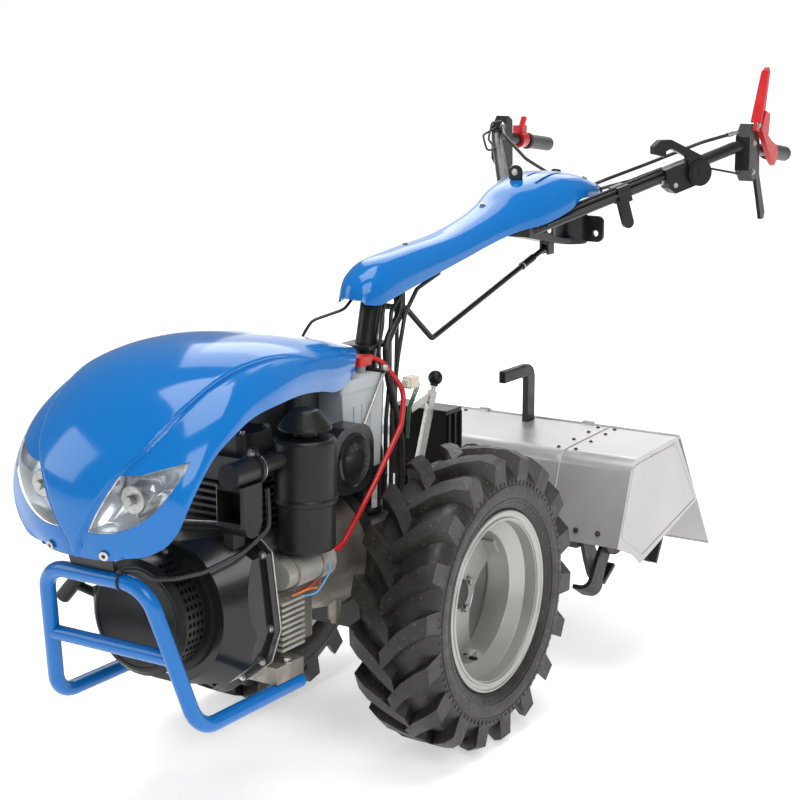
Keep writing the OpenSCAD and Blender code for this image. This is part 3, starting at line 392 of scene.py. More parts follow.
def ring(at, axis, major, minor, flat=1.0):
    """Ring round an axis; flat squeezes it along the axis."""
    bpy.ops.mesh.primitive_torus_add(major_radius=major / 1000, minor_radius=minor / 1000, major_segments=72,
                                     minor_segments=10)
    obj = bpy.context.object
    obj.data.transform(Matrix.Translation(spot(*at)) @ aim(axis) @ Matrix.Diagonal((1, 1, flat, 1)))
    smooth(obj, 60)
    return obj


def plate(outline, push):
    """Flat plate from an outline of points in metres, made thick by a push."""
    bpy.ops.mesh.primitive_circle_add(vertices=len(outline), fill_type="NGON")
    obj = bpy.context.object
    for vertex, at in zip(obj.data.vertices, outline):
        vertex.co = at
    bpy.ops.object.mode_set(mode="EDIT")
    bpy.ops.mesh.select_all(action="SELECT")
    bpy.ops.mesh.extrude_region_move(TRANSFORM_OT_translate={"value": push})
    bpy.ops.mesh.select_all(action="SELECT")
    bpy.ops.mesh.normals_make_consistent(inside=False)
    bpy.ops.object.mode_set(mode="OBJECT")
    return obj


def around(count, first=0):
    """Angles spread evenly round a circle, the first one in degrees."""
    return [math.radians(first + 360 * k / count) for k in range(count)]


def bolt_model(radius, height):
    """One hex bolt with its washer, standing on the origin along +Z."""
    bpy.ops.mesh.primitive_cylinder_add(vertices=6, radius=radius / 1000, depth=height / 1000,
                                        location=(0, 0, height / 2000 + 0.0012))
    head = bpy.context.object
    bpy.ops.object.transform_apply(location=True)
    bpy.ops.object.mode_set(mode="EDIT")
    bpy.ops.mesh.select_all(action="SELECT")
    bpy.ops.mesh.bevel(offset=radius / 9000, segments=1, affect="EDGES")
    bpy.ops.object.mode_set(mode="OBJECT")
    bpy.ops.mesh.primitive_cylinder_add(vertices=20, radius=radius * 1.42 / 1000, depth=0.0014, location=(0, 0, 0.0007))
    washer = bpy.context.object
    bpy.ops.object.transform_apply(location=True)
    return join([head, washer])


def bolts(name, places, radius=5, height=4.5, body="chassis", material=None):
    """Bolts at places given as (point in millimetres, axis)."""
    model = bolt_model(radius, height)
    copies = [moved(model, Matrix.Translation(spot(*at)) @ aim(axis)) for at, axis in places]
    drop(model)
    row = join(copies)
    smooth(row, 30)
    settle(row, name, "bright_steel", body, material=material)


# CAD nodes that keep their form: rounded copies stand for them, with the rounding in millimetres

ROUNDED = {
    "gearbox": 3, "clutch_bell": 2, "crankcase": 3, "cylinder_head": 1.2, "fan_shroud": 4, "recoil_cover": 1.2,
    "recoil_grip": 4, "air_cleaner": 1.5, "intake_pipe": 1.5, "air_duct": 2.5, "muffler": 3, "starter_motor": 1.6,
    "regulator": 0.7, "fuel_tank": 5, "battery": 2, "battery_tray": 0.7, "terminal_cap": 3, "nose_bracket": 0.7,
    "column": 1.5, "console_levers": 1.6, "bar_clamp": 1.6, "grips": 1.5, "clutch_lever": 3.4, "brake_levers": 3.2,
    "throttle": 4.5, "stop_switch": 1.6, "gear_lever": 0.8, "hitch_box": 1, "tiller_case": 5, "tiller_hood": 0.8,
    "tiller_wings": 0.8, "depth_spur": 3.6, "rear_flap": 0.8, "rotor": 1.4, "tyre_left": 3, "tyre_right": 3,
    "rim_left": 1.2, "rim_right": 1.2, "hub_left": 1.5, "hub_right": 1.5,
}
# Fold of the tiller's sheets: its place, how near an edge lies to it and how far its corner is cut back, in metres
FOLD_AT = spot(0, 467, 174)
FOLD_NEAR = 0.006
FOLD_CUT = 0.026
# Share of their width that the tiller's end sections keep, so that bolts and beads on them stay within the frame
WING_IN = 0.9945
# Two castings are black like the gearbox
SLOT_OF.update(cylinder_head="gear_alu", intake_pipe="gear_alu")


def round_fold(sheet):
    """Bends the edge between the front wall and the top of the tiller's sheets to a soft radius."""
    pick(sheet)
    bpy.context.tool_settings.mesh_select_mode = (False, True, False)
    bpy.ops.object.mode_set(mode="EDIT")
    bpy.ops.mesh.select_all(action="DESELECT")
    bpy.ops.object.mode_set(mode="OBJECT")
    for edge in sheet.data.edges:
        a, b = (sheet.data.vertices[k].co for k in edge.vertices)
        on_fold = all(math.hypot(p.y - FOLD_AT.y, p.z - FOLD_AT.z) < FOLD_NEAR for p in (a, b))
        edge.select = on_fold and abs(a.x - b.x) > 0.0005
    bpy.ops.object.mode_set(mode="EDIT")
    bpy.ops.mesh.bevel(offset=FOLD_CUT, segments=8, affect="EDGES", clamp_overlap=False)
    bpy.context.tool_settings.mesh_select_mode = (True, False, False)
    bpy.ops.object.mode_set(mode="OBJECT")


for node, width in ROUNDED.items():
    piece = copy_of(node)
    if node == "tiller_wings":
        piece.data.transform(Matrix.Diagonal((WING_IN, 1, 1, 1)))
    if node in ("tiller_hood", "tiller_wings"):
        round_fold(piece)
    round_edges(piece, width)
    settle(piece, node + "_dressed", SLOT_OF[node], BODY_OF[node], [node], LOOK_OF.get(node))


# Blue mouldings: hood and console as smooth shells over the rows of arches of the frame

NOSE_Y = -798
HOOD = [
    [78, 26, 240, 10, 234], [118, 33, 247, 3, 264], [150, 46, 264, 0, 299], [170, 55, 290, 2, 334],
    [179, 63, 317, 12, 369], [185, 86, 355, 32, 404], [188, 123, 395, 63, 441], [187, 176, 422, 108, 479],
    [180, 236, 439, 173, 511], [170, 318, 444, 253, 529], [152, 403, 441, 348, 533], [134, 483, 429, 448, 524],
    [120, 548, 416, 543, 507], [104, 608, 420, 633, 488], [92, 646, 434, 736, 461],
]
HOOD_POWER = 3
CONSOLE = [
    [30, -26, 531, -36, 540], [42, -6, 528, -28, 566], [48, 14, 530, -4, 588], [50, 60, 540, 40, 606],
    [50, 150, 556, 140, 618], [50, 300, 582, 295, 632], [52, 420, 604, 410, 654], [62, 500, 618, 490, 676],
    [82, 580, 628, 566, 704], [94, 660, 648, 650, 722], [96, 704, 668, 700, 725], [96, 750, 671, 750, 722],
    [90, 806, 668, 806, 708], [82, 824, 668, 824, 700],
]
CONSOLE_POWER = 2.8
SHELL_T = 4


def between(rows, u):
    """Row of numbers at a fractional place in a list of rows, on a smooth curve through them."""
    i = min(int(u), len(rows) - 2)
    t = u - i
    a, b, c, d = (rows[min(max(k, 0), len(rows) - 1)] for k in (i - 1, i, i + 1, i + 2))
    return [0.5 * (2 * q + (r - p) * t + (2 * p - 5 * q + 4 * r - s) * t * t + (3 * q - p - 3 * r + s) * t ** 3)
            for p, q, r, s in zip(a, b, c, d)]


def arch_point(rows, power, u, angle):
    half, edge_y, edge_z, crown_y, crown_z = between(rows, u)
    k = (abs(math.sin(angle)) ** power + abs(math.cos(angle)) ** power) ** (-1 / power)
    across, rise = math.sin(angle) * k, math.cos(angle) * k
    return [half * across, edge_y + (crown_y - edge_y) * (1 - across * across), edge_z + (crown_z - edge_z) * rise]


def arch_skin(rows, power, along, columns, ahead=0.0, lift=None):
    """Shell laid over a row of arches, shaped from a grid."""
    bpy.ops.mesh.primitive_grid_add(x_subdivisions=columns, y_subdivisions=along, size=1)
    obj = bpy.context.object
    for vertex in obj.data.vertices:
        u = (vertex.co.y + 0.5) * (len(rows) - 1)
        x, y, z = arch_point(rows, power, u, vertex.co.x * math.pi)
        y = max(y, 0) if ahead else y
        if lift:
            sunk, ahead_part = lift(u, x)
            y += sunk * ahead_part
            z -= sunk * (1 - ahead_part)
        vertex.co = spot(x, y + ahead, z)
    pick(obj)
    bpy.ops.object.mode_set(mode="EDIT")
    bpy.ops.mesh.select_all(action="SELECT")
    bpy.ops.mesh.normals_make_consistent(inside=False)
    bpy.ops.object.mode_set(mode="OBJECT")
    middle = obj.data.polygons[len(obj.data.polygons) // 2]
    if middle.normal.z < 0:
        obj.data.flip_normals()
    use(obj, "SOLIDIFY", thickness=SHELL_T / 1000, offset=-1)
    return obj


# Half width of the hood's middle panel at the stations from the nose to the rear
PANEL = [0, 12, 34, 54, 75, 103, 120, 131, 137, 137, 132, 124, 114, 100, 90]
PANEL_STEP = 7
LINE_SUNK = 1.8


def held(value):
    """Value kept between none and one."""
    return min(max(value, 0), 1)


def nose_share(u):
    """One where the hood faces forward, none where it faces up."""
    return held((6.5 - u) / 3)


def panel_edge(u):
    i = min(int(u), len(PANEL) - 2)
    return PANEL[i] + (PANEL[i + 1] - PANEL[i]) * (u - i)


def panel_lift(u, x):
    """The middle panel stands a little proud of the cheeks, with a soft step along its edge."""
    edge = panel_edge(u)
    step = held((abs(x) - edge) / 5 + 0.5)
    fade = held((11 - u) / 3) * math.exp(-max(abs(x) - edge, 0) / 55)
    return PANEL_STEP * step * step * (3 - 2 * step) * fade, nose_share(u)


def panel_line(side):
    """Thin bead along one edge of the middle panel, from the nose to where the step fades."""
    marks = []
    for k in range(64):
        u = 0.5 + 9.5 * k / 63
        low, high = 0.0, math.pi / 2
        for _ in range(30):
            angle = (low + high) / 2
            if arch_point(HOOD, HOOD_POWER, u, angle)[0] < panel_edge(u):
                low = angle
            else:
                high = angle
        x, y, z = arch_point(HOOD, HOOD_POWER, u, low)
        front = nose_share(u)
        marks.append((side * x, NOSE_Y + max(y, 0) + LINE_SUNK * front, z - LINE_SUNK * (1 - front)))
    return tube_mesh(marks, 1.5, 3, 6, 3)


LAMP_CORNERS = [(28.3, 280.1), (54, 326), (79, 370), (96, 372), (114, 374), (143, 383.5), (172.2, 393.1)]
ARC_X, ARC_Z, ARC_R = 45, 407, 128
LAMP_X, LAMP_Z = 105, 330


def leaf(shrink):
    """Outline of the left lamp seen from the front: three straight edges over one long arc."""
    turns = [math.radians(-6.2 - 91.3 * k / 26) for k in range(1, 26)]
    outline = LAMP_CORNERS + [(ARC_X + ARC_R * math.cos(a), ARC_Z + ARC_R * math.sin(a)) for a in turns]
    return [(LAMP_X + (x - LAMP_X) * shrink, LAMP_Z + (z - LAMP_Z) * shrink) for x, z in outline]


def leaf_prism(side, shrink):
    """Bar with the lamp's outline through the front of the hood."""
    return plate([spot(side * x, NOSE_Y - 10, z) for x, z in leaf(shrink)], (0, 0.11, 0))


def cut(obj, tool, operation="DIFFERENCE"):
    """Cuts one piece with another, which is used up."""
    use(obj, "BOOLEAN", object=tool, operation=operation, solver="EXACT")
    drop(tool)


hood = arch_skin(HOOD, HOOD_POWER, 140, 150, NOSE_Y, panel_lift)
lenses = []
for side in (-1, 1):
    lens = moved(hood, Matrix.Identity(4))
    cut(lens, leaf_prism(side, 0.992), "INTERSECT")
    lenses.append(lens)
for side in (-1, 1):
    cut(hood, leaf_prism(side, 1.0))
round_edges(hood, 0.9, angle=55)
settle(hood, "hood_dressed", "blue_plastic", nodes=["hood"])
settle(join([panel_line(1), panel_line(-1)]), "hood_panel_lines", "blue_plastic")
lens = join(lenses)
round_edges(lens, 0.6, angle=55)
settle(lens, "lamp_lenses", "clear_lens", nodes=["headlamps"])

# Depth of the hood's skin behind the nose, looked up from the front
skin = np.array([arch_point(HOOD, HOOD_POWER, u, a) for u in np.linspace(0, 8, 160)
                 for a in np.linspace(0.0, 1.55, 120)])


def skin_depth(x, z):
    return skin[np.argmin((skin[:, 0] - x) ** 2 + (skin[:, 2] - z) ** 2), 1]


BOWL_X, BOWL_Z = 104, 332
BULB_X = 92


def lamp_bucket(side):
    """Bright bowl behind a lens, narrowing to a round dish."""
    outline = leaf(0.985)
    rings = []
    for shrink, depth in ((1.0, 10), (0.97, 17), (0.86, 35), (0.7, 46), (0.4, 53), (0.12, 55)):
        rings.append([spot(side * (BOWL_X + (x - BOWL_X) * shrink),
                           NOSE_Y + skin_depth(x, z) * (0.3 + 0.7 * shrink) + 14 * (1 - shrink) + depth,
                           BOWL_Z + (z - BOWL_Z) * shrink) for x, z in outline])
    count = len(outline)
    faces = [(r * count + k, r * count + (k + 1) % count, (r + 1) * count + (k + 1) % count, (r + 1) * count + k)
             for r in range(len(rings) - 1) for k in range(count)]
    faces.append(tuple((len(rings) - 1) * count + k for k in range(count)))
    mesh = bpy.data.meshes.new("bucket")
    mesh.from_pydata([p for row in rings for p in row], [], faces)
    obj = bpy.data.objects.new("bucket", mesh)
    bpy.context.scene.collection.objects.link(obj)
    use(obj, "SOLIDIFY", thickness=0.0012, offset=0)
    clean(obj)
    smooth(obj, 50)
    return obj


settle(join([lamp_bucket(-1), lamp_bucket(1)]), "lamp_buckets", "bright_steel", material=chrome)
bulbs = []
for side in (-1, 1):
    bulbs.append(disc((side * BULB_X, NOSE_Y + 52, BOWL_Z), FRONT, 23, 10, 3))
    bulbs.append(disc((side * BULB_X, NOSE_Y + 42, BOWL_Z), FRONT, 8, 12, 3))
settle(join(bulbs), "lamp_bulbs", "bright_steel")

console = arch_skin(CONSOLE, CONSOLE_POWER, 96, 56)
for x, y, length in ((-44, 592, 74), (4, 632, 62), (42, 600, 112)):
    cut(console, block((x - 3.5, y, 640), (x + 3.5, y + length, 760), 3))
round_edges(console, 0.9, angle=55)
settle(console, "console_dressed", "blue_plastic", nodes=["console"])


# Tubes, rods and cables

def mirrored(points):
    return [(-x, y, z) for x, y, z in points]


GUARD_LEFT = [(150, -409, -54), (150, -682, -54), (104, -746, 194)]
guard = tube_mesh(GUARD_LEFT + mirrored(GUARD_LEFT[::-1]), 13.5, 52, 12)
cross = tube_mesh([(-127, -714, 70), (127, -714, 70)], 12.5, 20, 12)
settle(join([guard, cross]), "guard_tubes", "blue_paint", nodes=["guard"])

GRIP_X = 314
BAR = [(26, 613, 607), (GRIP_X - 10, 1041, 768), (GRIP_X, 1092, 769), (GRIP_X, 1160, 757), (GRIP_X, 1321, 737)]
bar = tube_mesh(BAR[::-1] + mirrored(BAR), 13.5, 30, 12)
settle(bar, "handlebar_tube", "case_black", nodes=["handlebars"])

ROD_A, ROD_B = Vector((0, 257, 424)), Vector((0, 712, 552))
rod = tube_mesh([(0, 61, 516), (0, 160, 498), ROD_A, ROD_B, (0, 742, 558)], 6, 14)
settle(rod, "lock_rod_bar", "case_black", nodes=["lock_rod"])

LEAD = [(60, -50.8, 439), (70, -30, 430), (96, 6, 372), (108, -24, 312), (124, -140, 226), (138, -262, 146),
        (138, -310.8, 140)]
settle(tube_mesh(LEAD, 5, 26, ease=24), "red_lead", "red_rubber", nodes=["starter_lead"])

GEARBOX_TOP = 130.3
HANDLE_CABLE = [(46, 850.9, 684), (48, 884, 690), (150, 908, 732), (250, 980, 780), (300, 1060, 800)]
CABLES = [
    ([(28, 99, 552), (32, 96, 505), (45, 18, 452), (47, 28, 384), (50, 64, 260), (50, 64, GEARBOX_TOP)], 8, 30),
    ([(14, 100, 548), (16, 104, 470), (30, 76, 330), (26, 88, 210), (26, 88, GEARBOX_TOP)], 4, 30),
    ([(-20, 110, 548), (-22, 112, 470), (-30, 80, 330), (-25, 110, 220), (-25, 110, GEARBOX_TOP)], 4, 30),
    ([(-20, 7.6, 536), (-26, -12, 516), (-60, -70, 500), (-72, -86, 470), (-72, -86, 431.3)], 3, 14),
    ([(58, -746, 212), (62, -716, 206), (70, -690, 184), (86, -652, 178), (114, -618, 184), (150, -562, 208),
      (164, -506, 238), (150, -492, 300)], 4, 16),
    (HANDLE_CABLE, 4, 24), (mirrored(HANDLE_CABLE), 4, 24),
]
cables = join([tube_mesh(points, radius, bend, ease=24) for points, radius, bend in CABLES])
settle(cables, "cable_runs", "grip_rubber", nodes=["control_cables"], material=cable_black)


# Frame of a piece on the left handlebar arm: X runs up the arm and Y points to the middle

ARM_IN, ARM_OUT = Vector(BAR[0]), Vector(BAR[1])
arm_dir = (ARM_OUT - ARM_IN).normalized()
arm_turn = Matrix.Rotation(math.atan2(arm_dir.y, arm_dir.x), 3, "Z") @ Matrix.Rotation(-math.asin(arm_dir.z), 3, "Y")
ARM_FACE = arm_turn @ Vector((0, -1, 0))
THROTTLE_AT = 0.714


def on_arm(part, x, y, z):
    return ARM_IN.lerp(ARM_OUT, part) + arm_turn @ Vector((x, y, z))


# Bolts and screws

SHROUD_Y = -499
CRANK_Z = 96
bolts("shroud_bolts", [((x, SHROUD_Y, z), FRONT) for x, z in
                       ((157, 64), (139, 4), (97, -31), (-66, -31), (-143, 24), (143, 188), (97, 225), (-60, 207))])
bolts("starter_cover_screws", [((104 * math.cos(a), -595, CRANK_Z + 104 * math.sin(a)), FRONT)
                               for a in (math.radians(d) for d in (80, 150, 215, 280))], 4, 4)
bolts("engine_foot_bolts", [((side * 150, -447, -10), UP) for side in (-1, 1)], 8, 7)
bolts("bell_bolts", [((107 * math.sin(a), -150, CRANK_Z + 107 * math.cos(a)), FRONT) for a in around(6, 30)], 6, 6)
bolts("axle_flange_bolts", [((side * 98, 54 * math.sin(a), 54 * math.cos(a)), (side, 0, 0)) for side in (-1, 1)
                            for a in around(6)], 5, 5)
bolts("hitch_bolts", [((60 * math.cos(a), 216, 72 + 60 * math.sin(a)), FRONT) for a in around(4, 45)], 6, 6)
bolts("clamp_bolts", [((side * 30, y, 551), (side, 0, 0)) for side in (-1, 1) for y in (28, 70)] +
      [((side * 36, 615, 620), (side, 0, 0)) for side in (-1, 1)], 6, 6)
bolts("lever_bracket_bolts", [((side * 331, 1084, z), (side, 0, 0)) for side in (-1, 1) for z in (712, 776)], 5, 4)
bolts("lever_pivot", [((339.6, 1086, 816), LEFT)], 6, 4)
bolts("rocker_bolts", [((x, y, 364), UP) for x in (-44, 44) for y in (-420, -352)], 5, 5)
bolts("intake_bolts", [((138, -517, 336 + side * 26), FRONT) for side in (-1, 1)], 5, 5)
bolts("tiller_hood_bolts", [((x, y, 175 + 8 * (y - 467) / 216), UP) for x in (-206, -166, 166, 206)
                            for y in (492, 560, 628, 672)], 3, 1.8, material=FINISH["tine_steel"])
bolts("end_plate_bolts", [((side * 346.6, y, z), (side, 0, 0)) for side in (-1, 1)
                          for y, z in ((448, 96), (470, 158), (560, 166), (668, 170))], 4, 1.8,
      material=FINISH["silver_paint"])
for side, body in WHEELS:
    bolts(body.replace("wheel", "wheel_bolts"), [((side * 215, 44 * math.sin(a), 44 * math.cos(a)), (side, 0, 0))
                                                 for a in around(5)], 8, 9, body)
# Nose screws: bright heads, each with a dark hex disc that is painted shade standing in for the shaded hollow of its
# socket
heads, socket_shades = [], []
for side in (-1, 1):
    way = (side * 0.25, -0.93, -0.25)
    heads.append(disc((side * 55, -783, 244), way, 8, 2.4, 0.8, 28))
    socket_shades.append(disc((side * 55.6, -785, 243.4), way, 3.6, 0.8, 0.3, 6))
settle(join(heads), "nose_screws", "bright_steel")
settle(join(socket_shades), "nose_screw_socket_shade", "black_plastic")
TOP = (0, -0.24, 0.97)
bolts("console_screws", [((-12, 472, 671), TOP), ((-10, 174, 620.5), TOP), ((70, 772, 708), (0.55, 0.1, 0.83)),
                         ((-70, 772, 708), (-0.55, 0.1, 0.83)), ((-8, 601.8, 730), FRONT)], 5, 2.5)
bolts("tiller_front_bolts", [((x, 412.5, 28), (0, -0.94, 0.34)) for x in (-300, -250, 250, 300)], 4, 3,
      material=FINISH["tine_steel"])
bolts("throttle_screw", [(on_arm(THROTTLE_AT, -30, -26, -22), ARM_FACE)], 4, 3)


# Bright edges between castings

SHROUD = [(-96, 140), (-62, 214), (100, 232), (150, 190), (166, 60), (146, 0), (102, -38), (-70, -38), (-150, 20),
          (-160, 96)]
GASKET_GROW = 1.012
gasket = plate([spot(x * GASKET_GROW, -485, CRANK_Z + (z - CRANK_Z) * GASKET_GROW) for x, z in SHROUD], (0, 0.003, 0))
use(gasket, "BEVEL", width=0.0006, segments=2, limit_method="ANGLE", angle_limit=math.radians(60))
settle(gasket, "housing_gasket", "bright_steel")
settle(disc((138, -509.6, 336), REAR, 25.6, 2, 0.4), "intake_gasket", "bright_steel")
settle(ring((0, -651, CRANK_Z), FRONT, 84, 1.6), "starter_cover_ring", "black_plastic")


# Wheels: ticks and rings on the side walls, hub caps, mould hairs, rim lips and valves

TRACK = 235
TREAD_R = 256
axle_middle = spot(0, 0, 0)
VALVE_R, VALVE_TURN = 124, math.radians(178)
lip_x = max(abs(v.co.x) for v in frame["nodes"]["rim_left"].data.vertices) * 1000


def mould_hairs(side, body):
    """Thin rubber hairs left by the mould between the lugs."""
    hairs = []
    for k in range(30):
        a = math.radians(12 * k + 5 * ((k * 7) % 3))
        across = ((k * 37) % 11 - 5) * 9
        way = Vector((0.5 * math.sin(k * 2.4), math.sin(a), math.cos(a))).normalized()
        root = spot(side * TRACK + across, TREAD_R * math.sin(a), TREAD_R * math.cos(a))
        bpy.ops.mesh.primitive_cone_add(vertices=4, radius1=0.0009, radius2=0.0004, depth=0.018)
        hair = bpy.context.object
        hair.data.transform(Matrix.Translation(root) @ aim(way) @ Matrix.Translation((0, 0, 0.009)))
        hairs.append(hair)
    settle(join(hairs), body + "_mould_hairs", "tyre_rubber", body)


def wall_ticks(side, body):
    """Short raised bars round the shoulder and the bead of a tyre's outer wall."""
    bars = []
    for count, r, x, length in ((96, 221, 79.9, 11), (110, 186.5, 76.2, 4)):
        bpy.ops.mesh.primitive_cube_add(size=1)
        bar = bpy.context.object
        size = Matrix.Diagonal((0.0026, 0.0013, length / 1000, 1))
        bar.data.transform(Matrix.Translation((side * (TRACK + x) / 1000, 0, r / 1000)) @ size)
        bars += [moved(bar, Matrix.Translation(axle_middle) @ Matrix.Rotation(a, 4, "X")) for a in around(count)]
        drop(bar)
    settle(join(bars), body + "_wall_ticks", "tyre_rubber", body)


for side, body in WHEELS:
    wall_ticks(side, body)
    rings = [ring((side * (TRACK + x), 0, 0), LEFT, r, 1.6, 0.8) for r, x in ((184, 74.5), (192, 79.5), (216, 81))]
    rings += [ring((side * (TRACK - x), 0, 0), LEFT, r, 1.6, 0.8) for r, x in ((184, 74.5), (216, 81))]
    settle(join(rings), body + "_wall_rings", "tyre_rubber", body)
    settle(disc((side * 221, 0, 0), (side, 0, 0), 24, 7, 3), body + "_hub_cap", "case_black", body)
    mould_hairs(side, body)
    lip = [ring((side * (lip_x - x), 0, 0), LEFT, r, thick) for r, thick, x in ((167, 3.2, 1.5), (154, 3, 2.5))]
    settle(join(lip), body + "_rim_lip", "silver_paint", body, material=LOOK_OF["rim_left"])
    y, z = VALVE_R * math.sin(VALVE_TURN), VALVE_R * math.cos(VALVE_TURN)
    stem = disc((side * 232, y, z), (side, 0, 0), 5, 26, 1.5, 20)
    foot = disc((side * 228, y, z), (side, 0, 0), 8, 8, 3, 20)
    settle(join([stem, foot]), body + "_valve", "black_plastic", body)


# Small pieces on the engine, battery and controls

settle(tube_mesh([(99, -221, 220), (99, -66, 422)], 3.2, 5), "hold_down_rod", "bright_steel")
settle(block((-112, -76, 419.4), (106, -58, 423), 0.8), "hold_down_strap", "case_black")
bolts("hold_down_nut", [((99, -66, 423), UP)], 6, 8)
plugs = [disc((x, -140, 419), UP, 9, 3, 0.8, 24) for x in (-66, -42, -18, 6, 30, 54)]
settle(join(plugs), "battery_plugs", "battery_grey")

LEAN = math.radians(21)


def on_gear_lever(length):
    """Point on the middle line of the gear lever, so far along it from its foot."""
    return 44, 112 + length * math.sin(LEAN), GEARBOX_TOP + length * math.cos(LEAN)


bpy.ops.mesh.primitive_uv_sphere_add(segments=32, ring_count=16, radius=0.0146)
knob = bpy.context.object
knob.data.transform(Matrix.Translation(spot(*on_gear_lever(244))))
smooth(knob, 60)
collar = disc(on_gear_lever(227), (0, math.sin(LEAN), math.cos(LEAN)), 8, 8, 1.5, 24)
settle(join([knob, collar]), "gear_knob", "black_plastic")

settle(block((-8, 541, 283.4), (8, 640, 310), 4), "spur_grip", "black_plastic")

wires = [
    (orange_sheath, [(150, -430, 100), (172, -404, 112), (164, -366, 100), (142, -338, 108)]),
    (sky_sheath, [(160, -340, 150), (176, -352, 128), (170, -384, 96), (150, -402, 92)]),
    (FINISH["red_rubber"], [(138, -318, 150), (150, -330, 116), (132, -360, 92), (122, -398, 88)]),
]
for k, (sheath, points) in enumerate(wires):
    settle(tube_mesh(points, 1.8, 12, 4, ease=20), f"engine_wire_{k}", "grip_rubber", material=sheath)
terminal = join([disc((138, -330, 168), UP, 9, 6, 1, 24), disc((138, -330, 174), UP, 4, 12, 0.8, 16)])
settle(terminal, "starter_terminal", "bright_steel")
bands = [ring((138, y, 138), REAR, r, 1.6) for y, r in ((-424, 27.6), (-358, 29.6), (-324, 29.6))]
settle(join(bands), "starter_bands", "cast_alu")

connector = join([block((72, 36, 368), (92, 64, 390), 1.4), block((75, 28, 372), (89, 36, 386), 1)])
settle(connector, "cable_connector", "battery_grey", material=cream)
tails = [[(77 + k * 4, 62, 379), (76 + k * 4, 82, 373), (62 + k * 3, 70, 322), (56 + k * 2, 76, 262)]
         for k in range(3)]
tails = join([tube_mesh(points, 1.4, 10, 4, ease=16) for points in tails])
settle(tails, "connector_wires", "grip_rubber", material=green_sheath)

tie = ring((58, -746, 194), LEFT, 14.6, 1.6, 1.6)
tie_head = block((54, -754, 205), (62, -745, 211), 0.8)
settle(join([tie, tie_head]), "guard_tie", "black_plastic")

ends = []
for side in (1, -1):
    before, tip = (Vector((side * x, y, z)) for x, y, z in HANDLE_CABLE[-2:])
    way = (tip - before).normalized()
    start = tip - way * 26
    ends.append(disc(start, way, 6, 16, 1, 20))
    ends.append(disc(start + way * 16, way, 4.6, 12, 0.6, 20))
settle(join(ends), "cable_adjusters", "bright_steel")

runs = [
    ([(-304, 1061, 806), (-300, 1010, 806), (-288, 972, 768), (-256, 958, 746)], 2.6),
    ([(-318, 1061, 790), (-322, 1004, 776), (-296, 980, 742), (-262, 968, 745)], 2.6),
    ([on_arm(p, 0, -16.5 + w, 3) for p, w in ((0.06, 0), (0.2, 0.5), (0.36, -0.5), (0.5, 0.5), (0.64, 0))], 3.4),
    ([on_arm(p, 0, -12 + w, 12.6) for p, w in ((0.06, 0), (0.2, -0.6), (0.36, 0.6), (0.5, 0), (0.64, 0.4))], 3.4),
    ([on_arm(p, 0, -3.5 + w, 17) for p, w in ((0.1, 0), (0.24, 0.6), (0.36, 0), (0.5, -0.6), (0.64, 0))], 3.4),
    ([(66, 850.6, 678), (84, 866, 684), (140, 862, 700), on_arm(0.56, 0, 6, 17), on_arm(0.645, 0, 4, 16.6)], 4),
    ([(38, 221, 562), (42, 134, 542), (45, 87, 500), (46, 61, 421), (47, 38, 317), (45, 36, 131)], 4.2),
    ([(34, 111, 554), (36, 52, 508), (40, 42, 456), (42, 39, 395), (44, 22, 306), (42, 20, 131)], 4.0),
    ([(30, 51, 553), (33, 26, 500), (37, 9, 438), (40, 15, 376), (42, 5, 299), (40, 3, 131)], 3.6),
    ([on_arm(THROTTLE_AT, 50, 4, -18), on_arm(THROTTLE_AT, 84, 2, -26), (302, 1040, 712), (308, 1066, 706)], 2.6),
]
thin = join([tube_mesh(points, radius, 12, 6, ease=16) for points, radius in runs])
settle(thin, "thin_cables", "grip_rubber", material=cable_black)
cap = join([disc(on_arm(THROTTLE_AT, 32, -36, -14), ARM_FACE, 24, 2, 0.8),
            disc(on_arm(THROTTLE_AT, 32, -38, -14), ARM_FACE, 7, 1.6, 0.6)])
settle(cap, "throttle_cap", "black_plastic")
settle(disc(on_arm(THROTTLE_AT, -46, -9, -8), -arm_dir, 7, 9, 1, 20), "throttle_adjuster", "bright_steel")

# Broad face of the clutch lever: half widths at its foot and round tip in millimetres, thickness in metres
BLADE_LOW, BLADE_TOP, BLADE_X = Vector((0, 1080, 822)), Vector((0, 1124, 938)), 335.4
BLADE_FOOT, BLADE_TIP, BLADE_T = 13, 9, 0.006
blade_way = (BLADE_TOP - BLADE_LOW).normalized()
neck = (BLADE_TOP - BLADE_LOW).length - BLADE_TIP
outline = [(BLADE_FOOT, 0), (BLADE_TIP, neck)]
outline += [(BLADE_TIP * math.cos(a), neck + BLADE_TIP * math.sin(a)) for a in (math.pi * k / 12 for k in range(1, 12))]
outline += [(-BLADE_TIP, neck), (-BLADE_FOOT, 0)]
blade = plate([spot(BLADE_X + x, *(BLADE_LOW + blade_way * v)[1:]) for x, v in outline],
              (0, blade_way.z * BLADE_T, -blade_way.y * BLADE_T))
round_edges(blade, 1.8, segments=3)
settle(blade, "clutch_blade", "red_plastic")

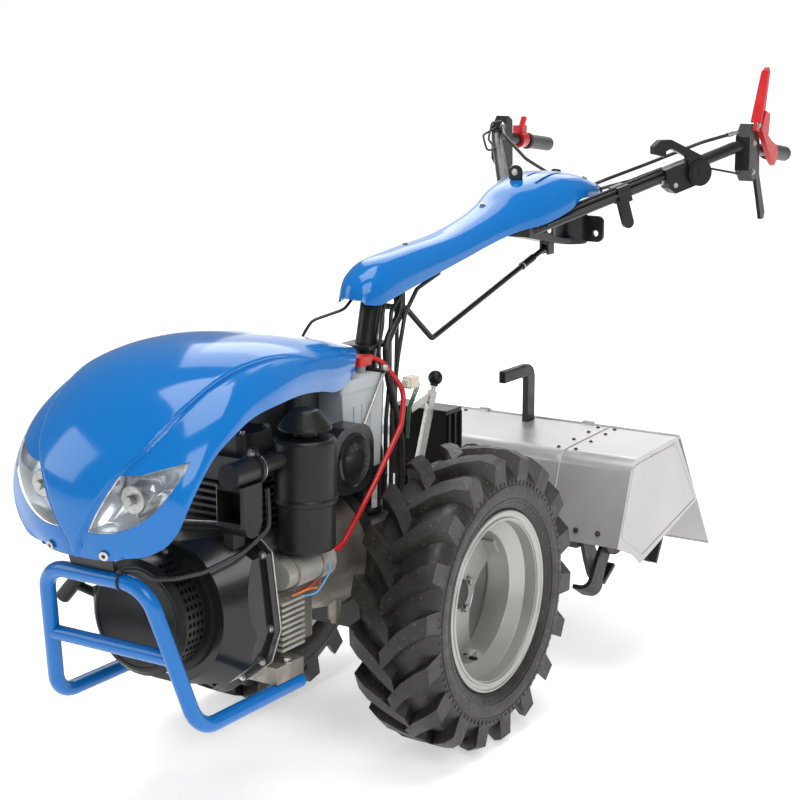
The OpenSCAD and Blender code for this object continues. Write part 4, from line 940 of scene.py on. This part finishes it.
rod_way = (ROD_B - ROD_A).normalized()
settle(disc(ROD_A.lerp(ROD_B, 0.82), rod_way, 8, 46, 1.5, 24), "rod_sleeve", "black_plastic")
settle(ring(ROD_A.lerp(ROD_B, 0.81), rod_way, 7.6, 1.6, 1.8), "rod_clip", "bright_steel")


# Beads pressed into the tiller's sheets

END_PLATE = [(419, 24), (474, 163), (676, 170), (784, 26), (520, -36), (490, -14)]
beads = []
for side in (-1, 1):
    loop = [(side * 347.9, y, z) for y, z in END_PLATE]
    beads.append(tube_mesh(loop[3:] + loop[:4], 1.6, 24, 4))
    beads.append(tube_mesh([(side * 186, 408, 8), (side * 186, 467, 175.2), (side * 186, 682, 183.2)], 2, 38, 4))
settle(join(beads), "tiller_beads", "silver_paint")

# Beads across the flap and a hem along its lower edge
FLAP_TOP, FLAP_END = Vector((0, 701.2, 182.7)), Vector((0, 876.4, -97))
FLAP_OUT = Vector((0, 0.848, 0.531))
beads = []
for part, half, radius, out in ((0.3, 300, 3, -0.4), (0.72, 300, 3, -0.4), (0.989, 345, 2.8, -1.5)):
    at = FLAP_TOP.lerp(FLAP_END, part) + FLAP_OUT * out
    beads.append(tube_mesh([(-half, at.y, at.z), (half, at.y, at.z)], radius, 5))
settle(join(beads), "flap_beads", "silver_paint", "flap")


# Right side of the engine: round cover, ribs, bolts and oil filler

CASE_X, CASE_Y, CASE_Z = -100, -388, 100
cover = [disc((CASE_X, CASE_Y, CASE_Z), RIGHT, 56, 7, 2, 48), disc((CASE_X - 7, CASE_Y, CASE_Z), RIGHT, 30, 4, 2, 40)]
cover += [block((CASE_X - 3, -462, z - 3), (CASE_X + 1, -314, z + 3), 1) for z in (24, 176)]
settle(join(cover), "engine_side_cover", "cast_alu")
bolts("side_cover_bolts", [((CASE_X - 7, CASE_Y + 46 * math.sin(a), CASE_Z + 46 * math.cos(a)), RIGHT)
                           for a in around(6, 30)] + [((CASE_X, -340, 6), RIGHT)], 5, 5)
filler = [disc((CASE_X, -326, 52), RIGHT, 13, 8, 2, 28), disc((CASE_X - 8, -326, 52), RIGHT, 7, 12, 2, 24)]
settle(join(filler), "oil_filler", "black_plastic")
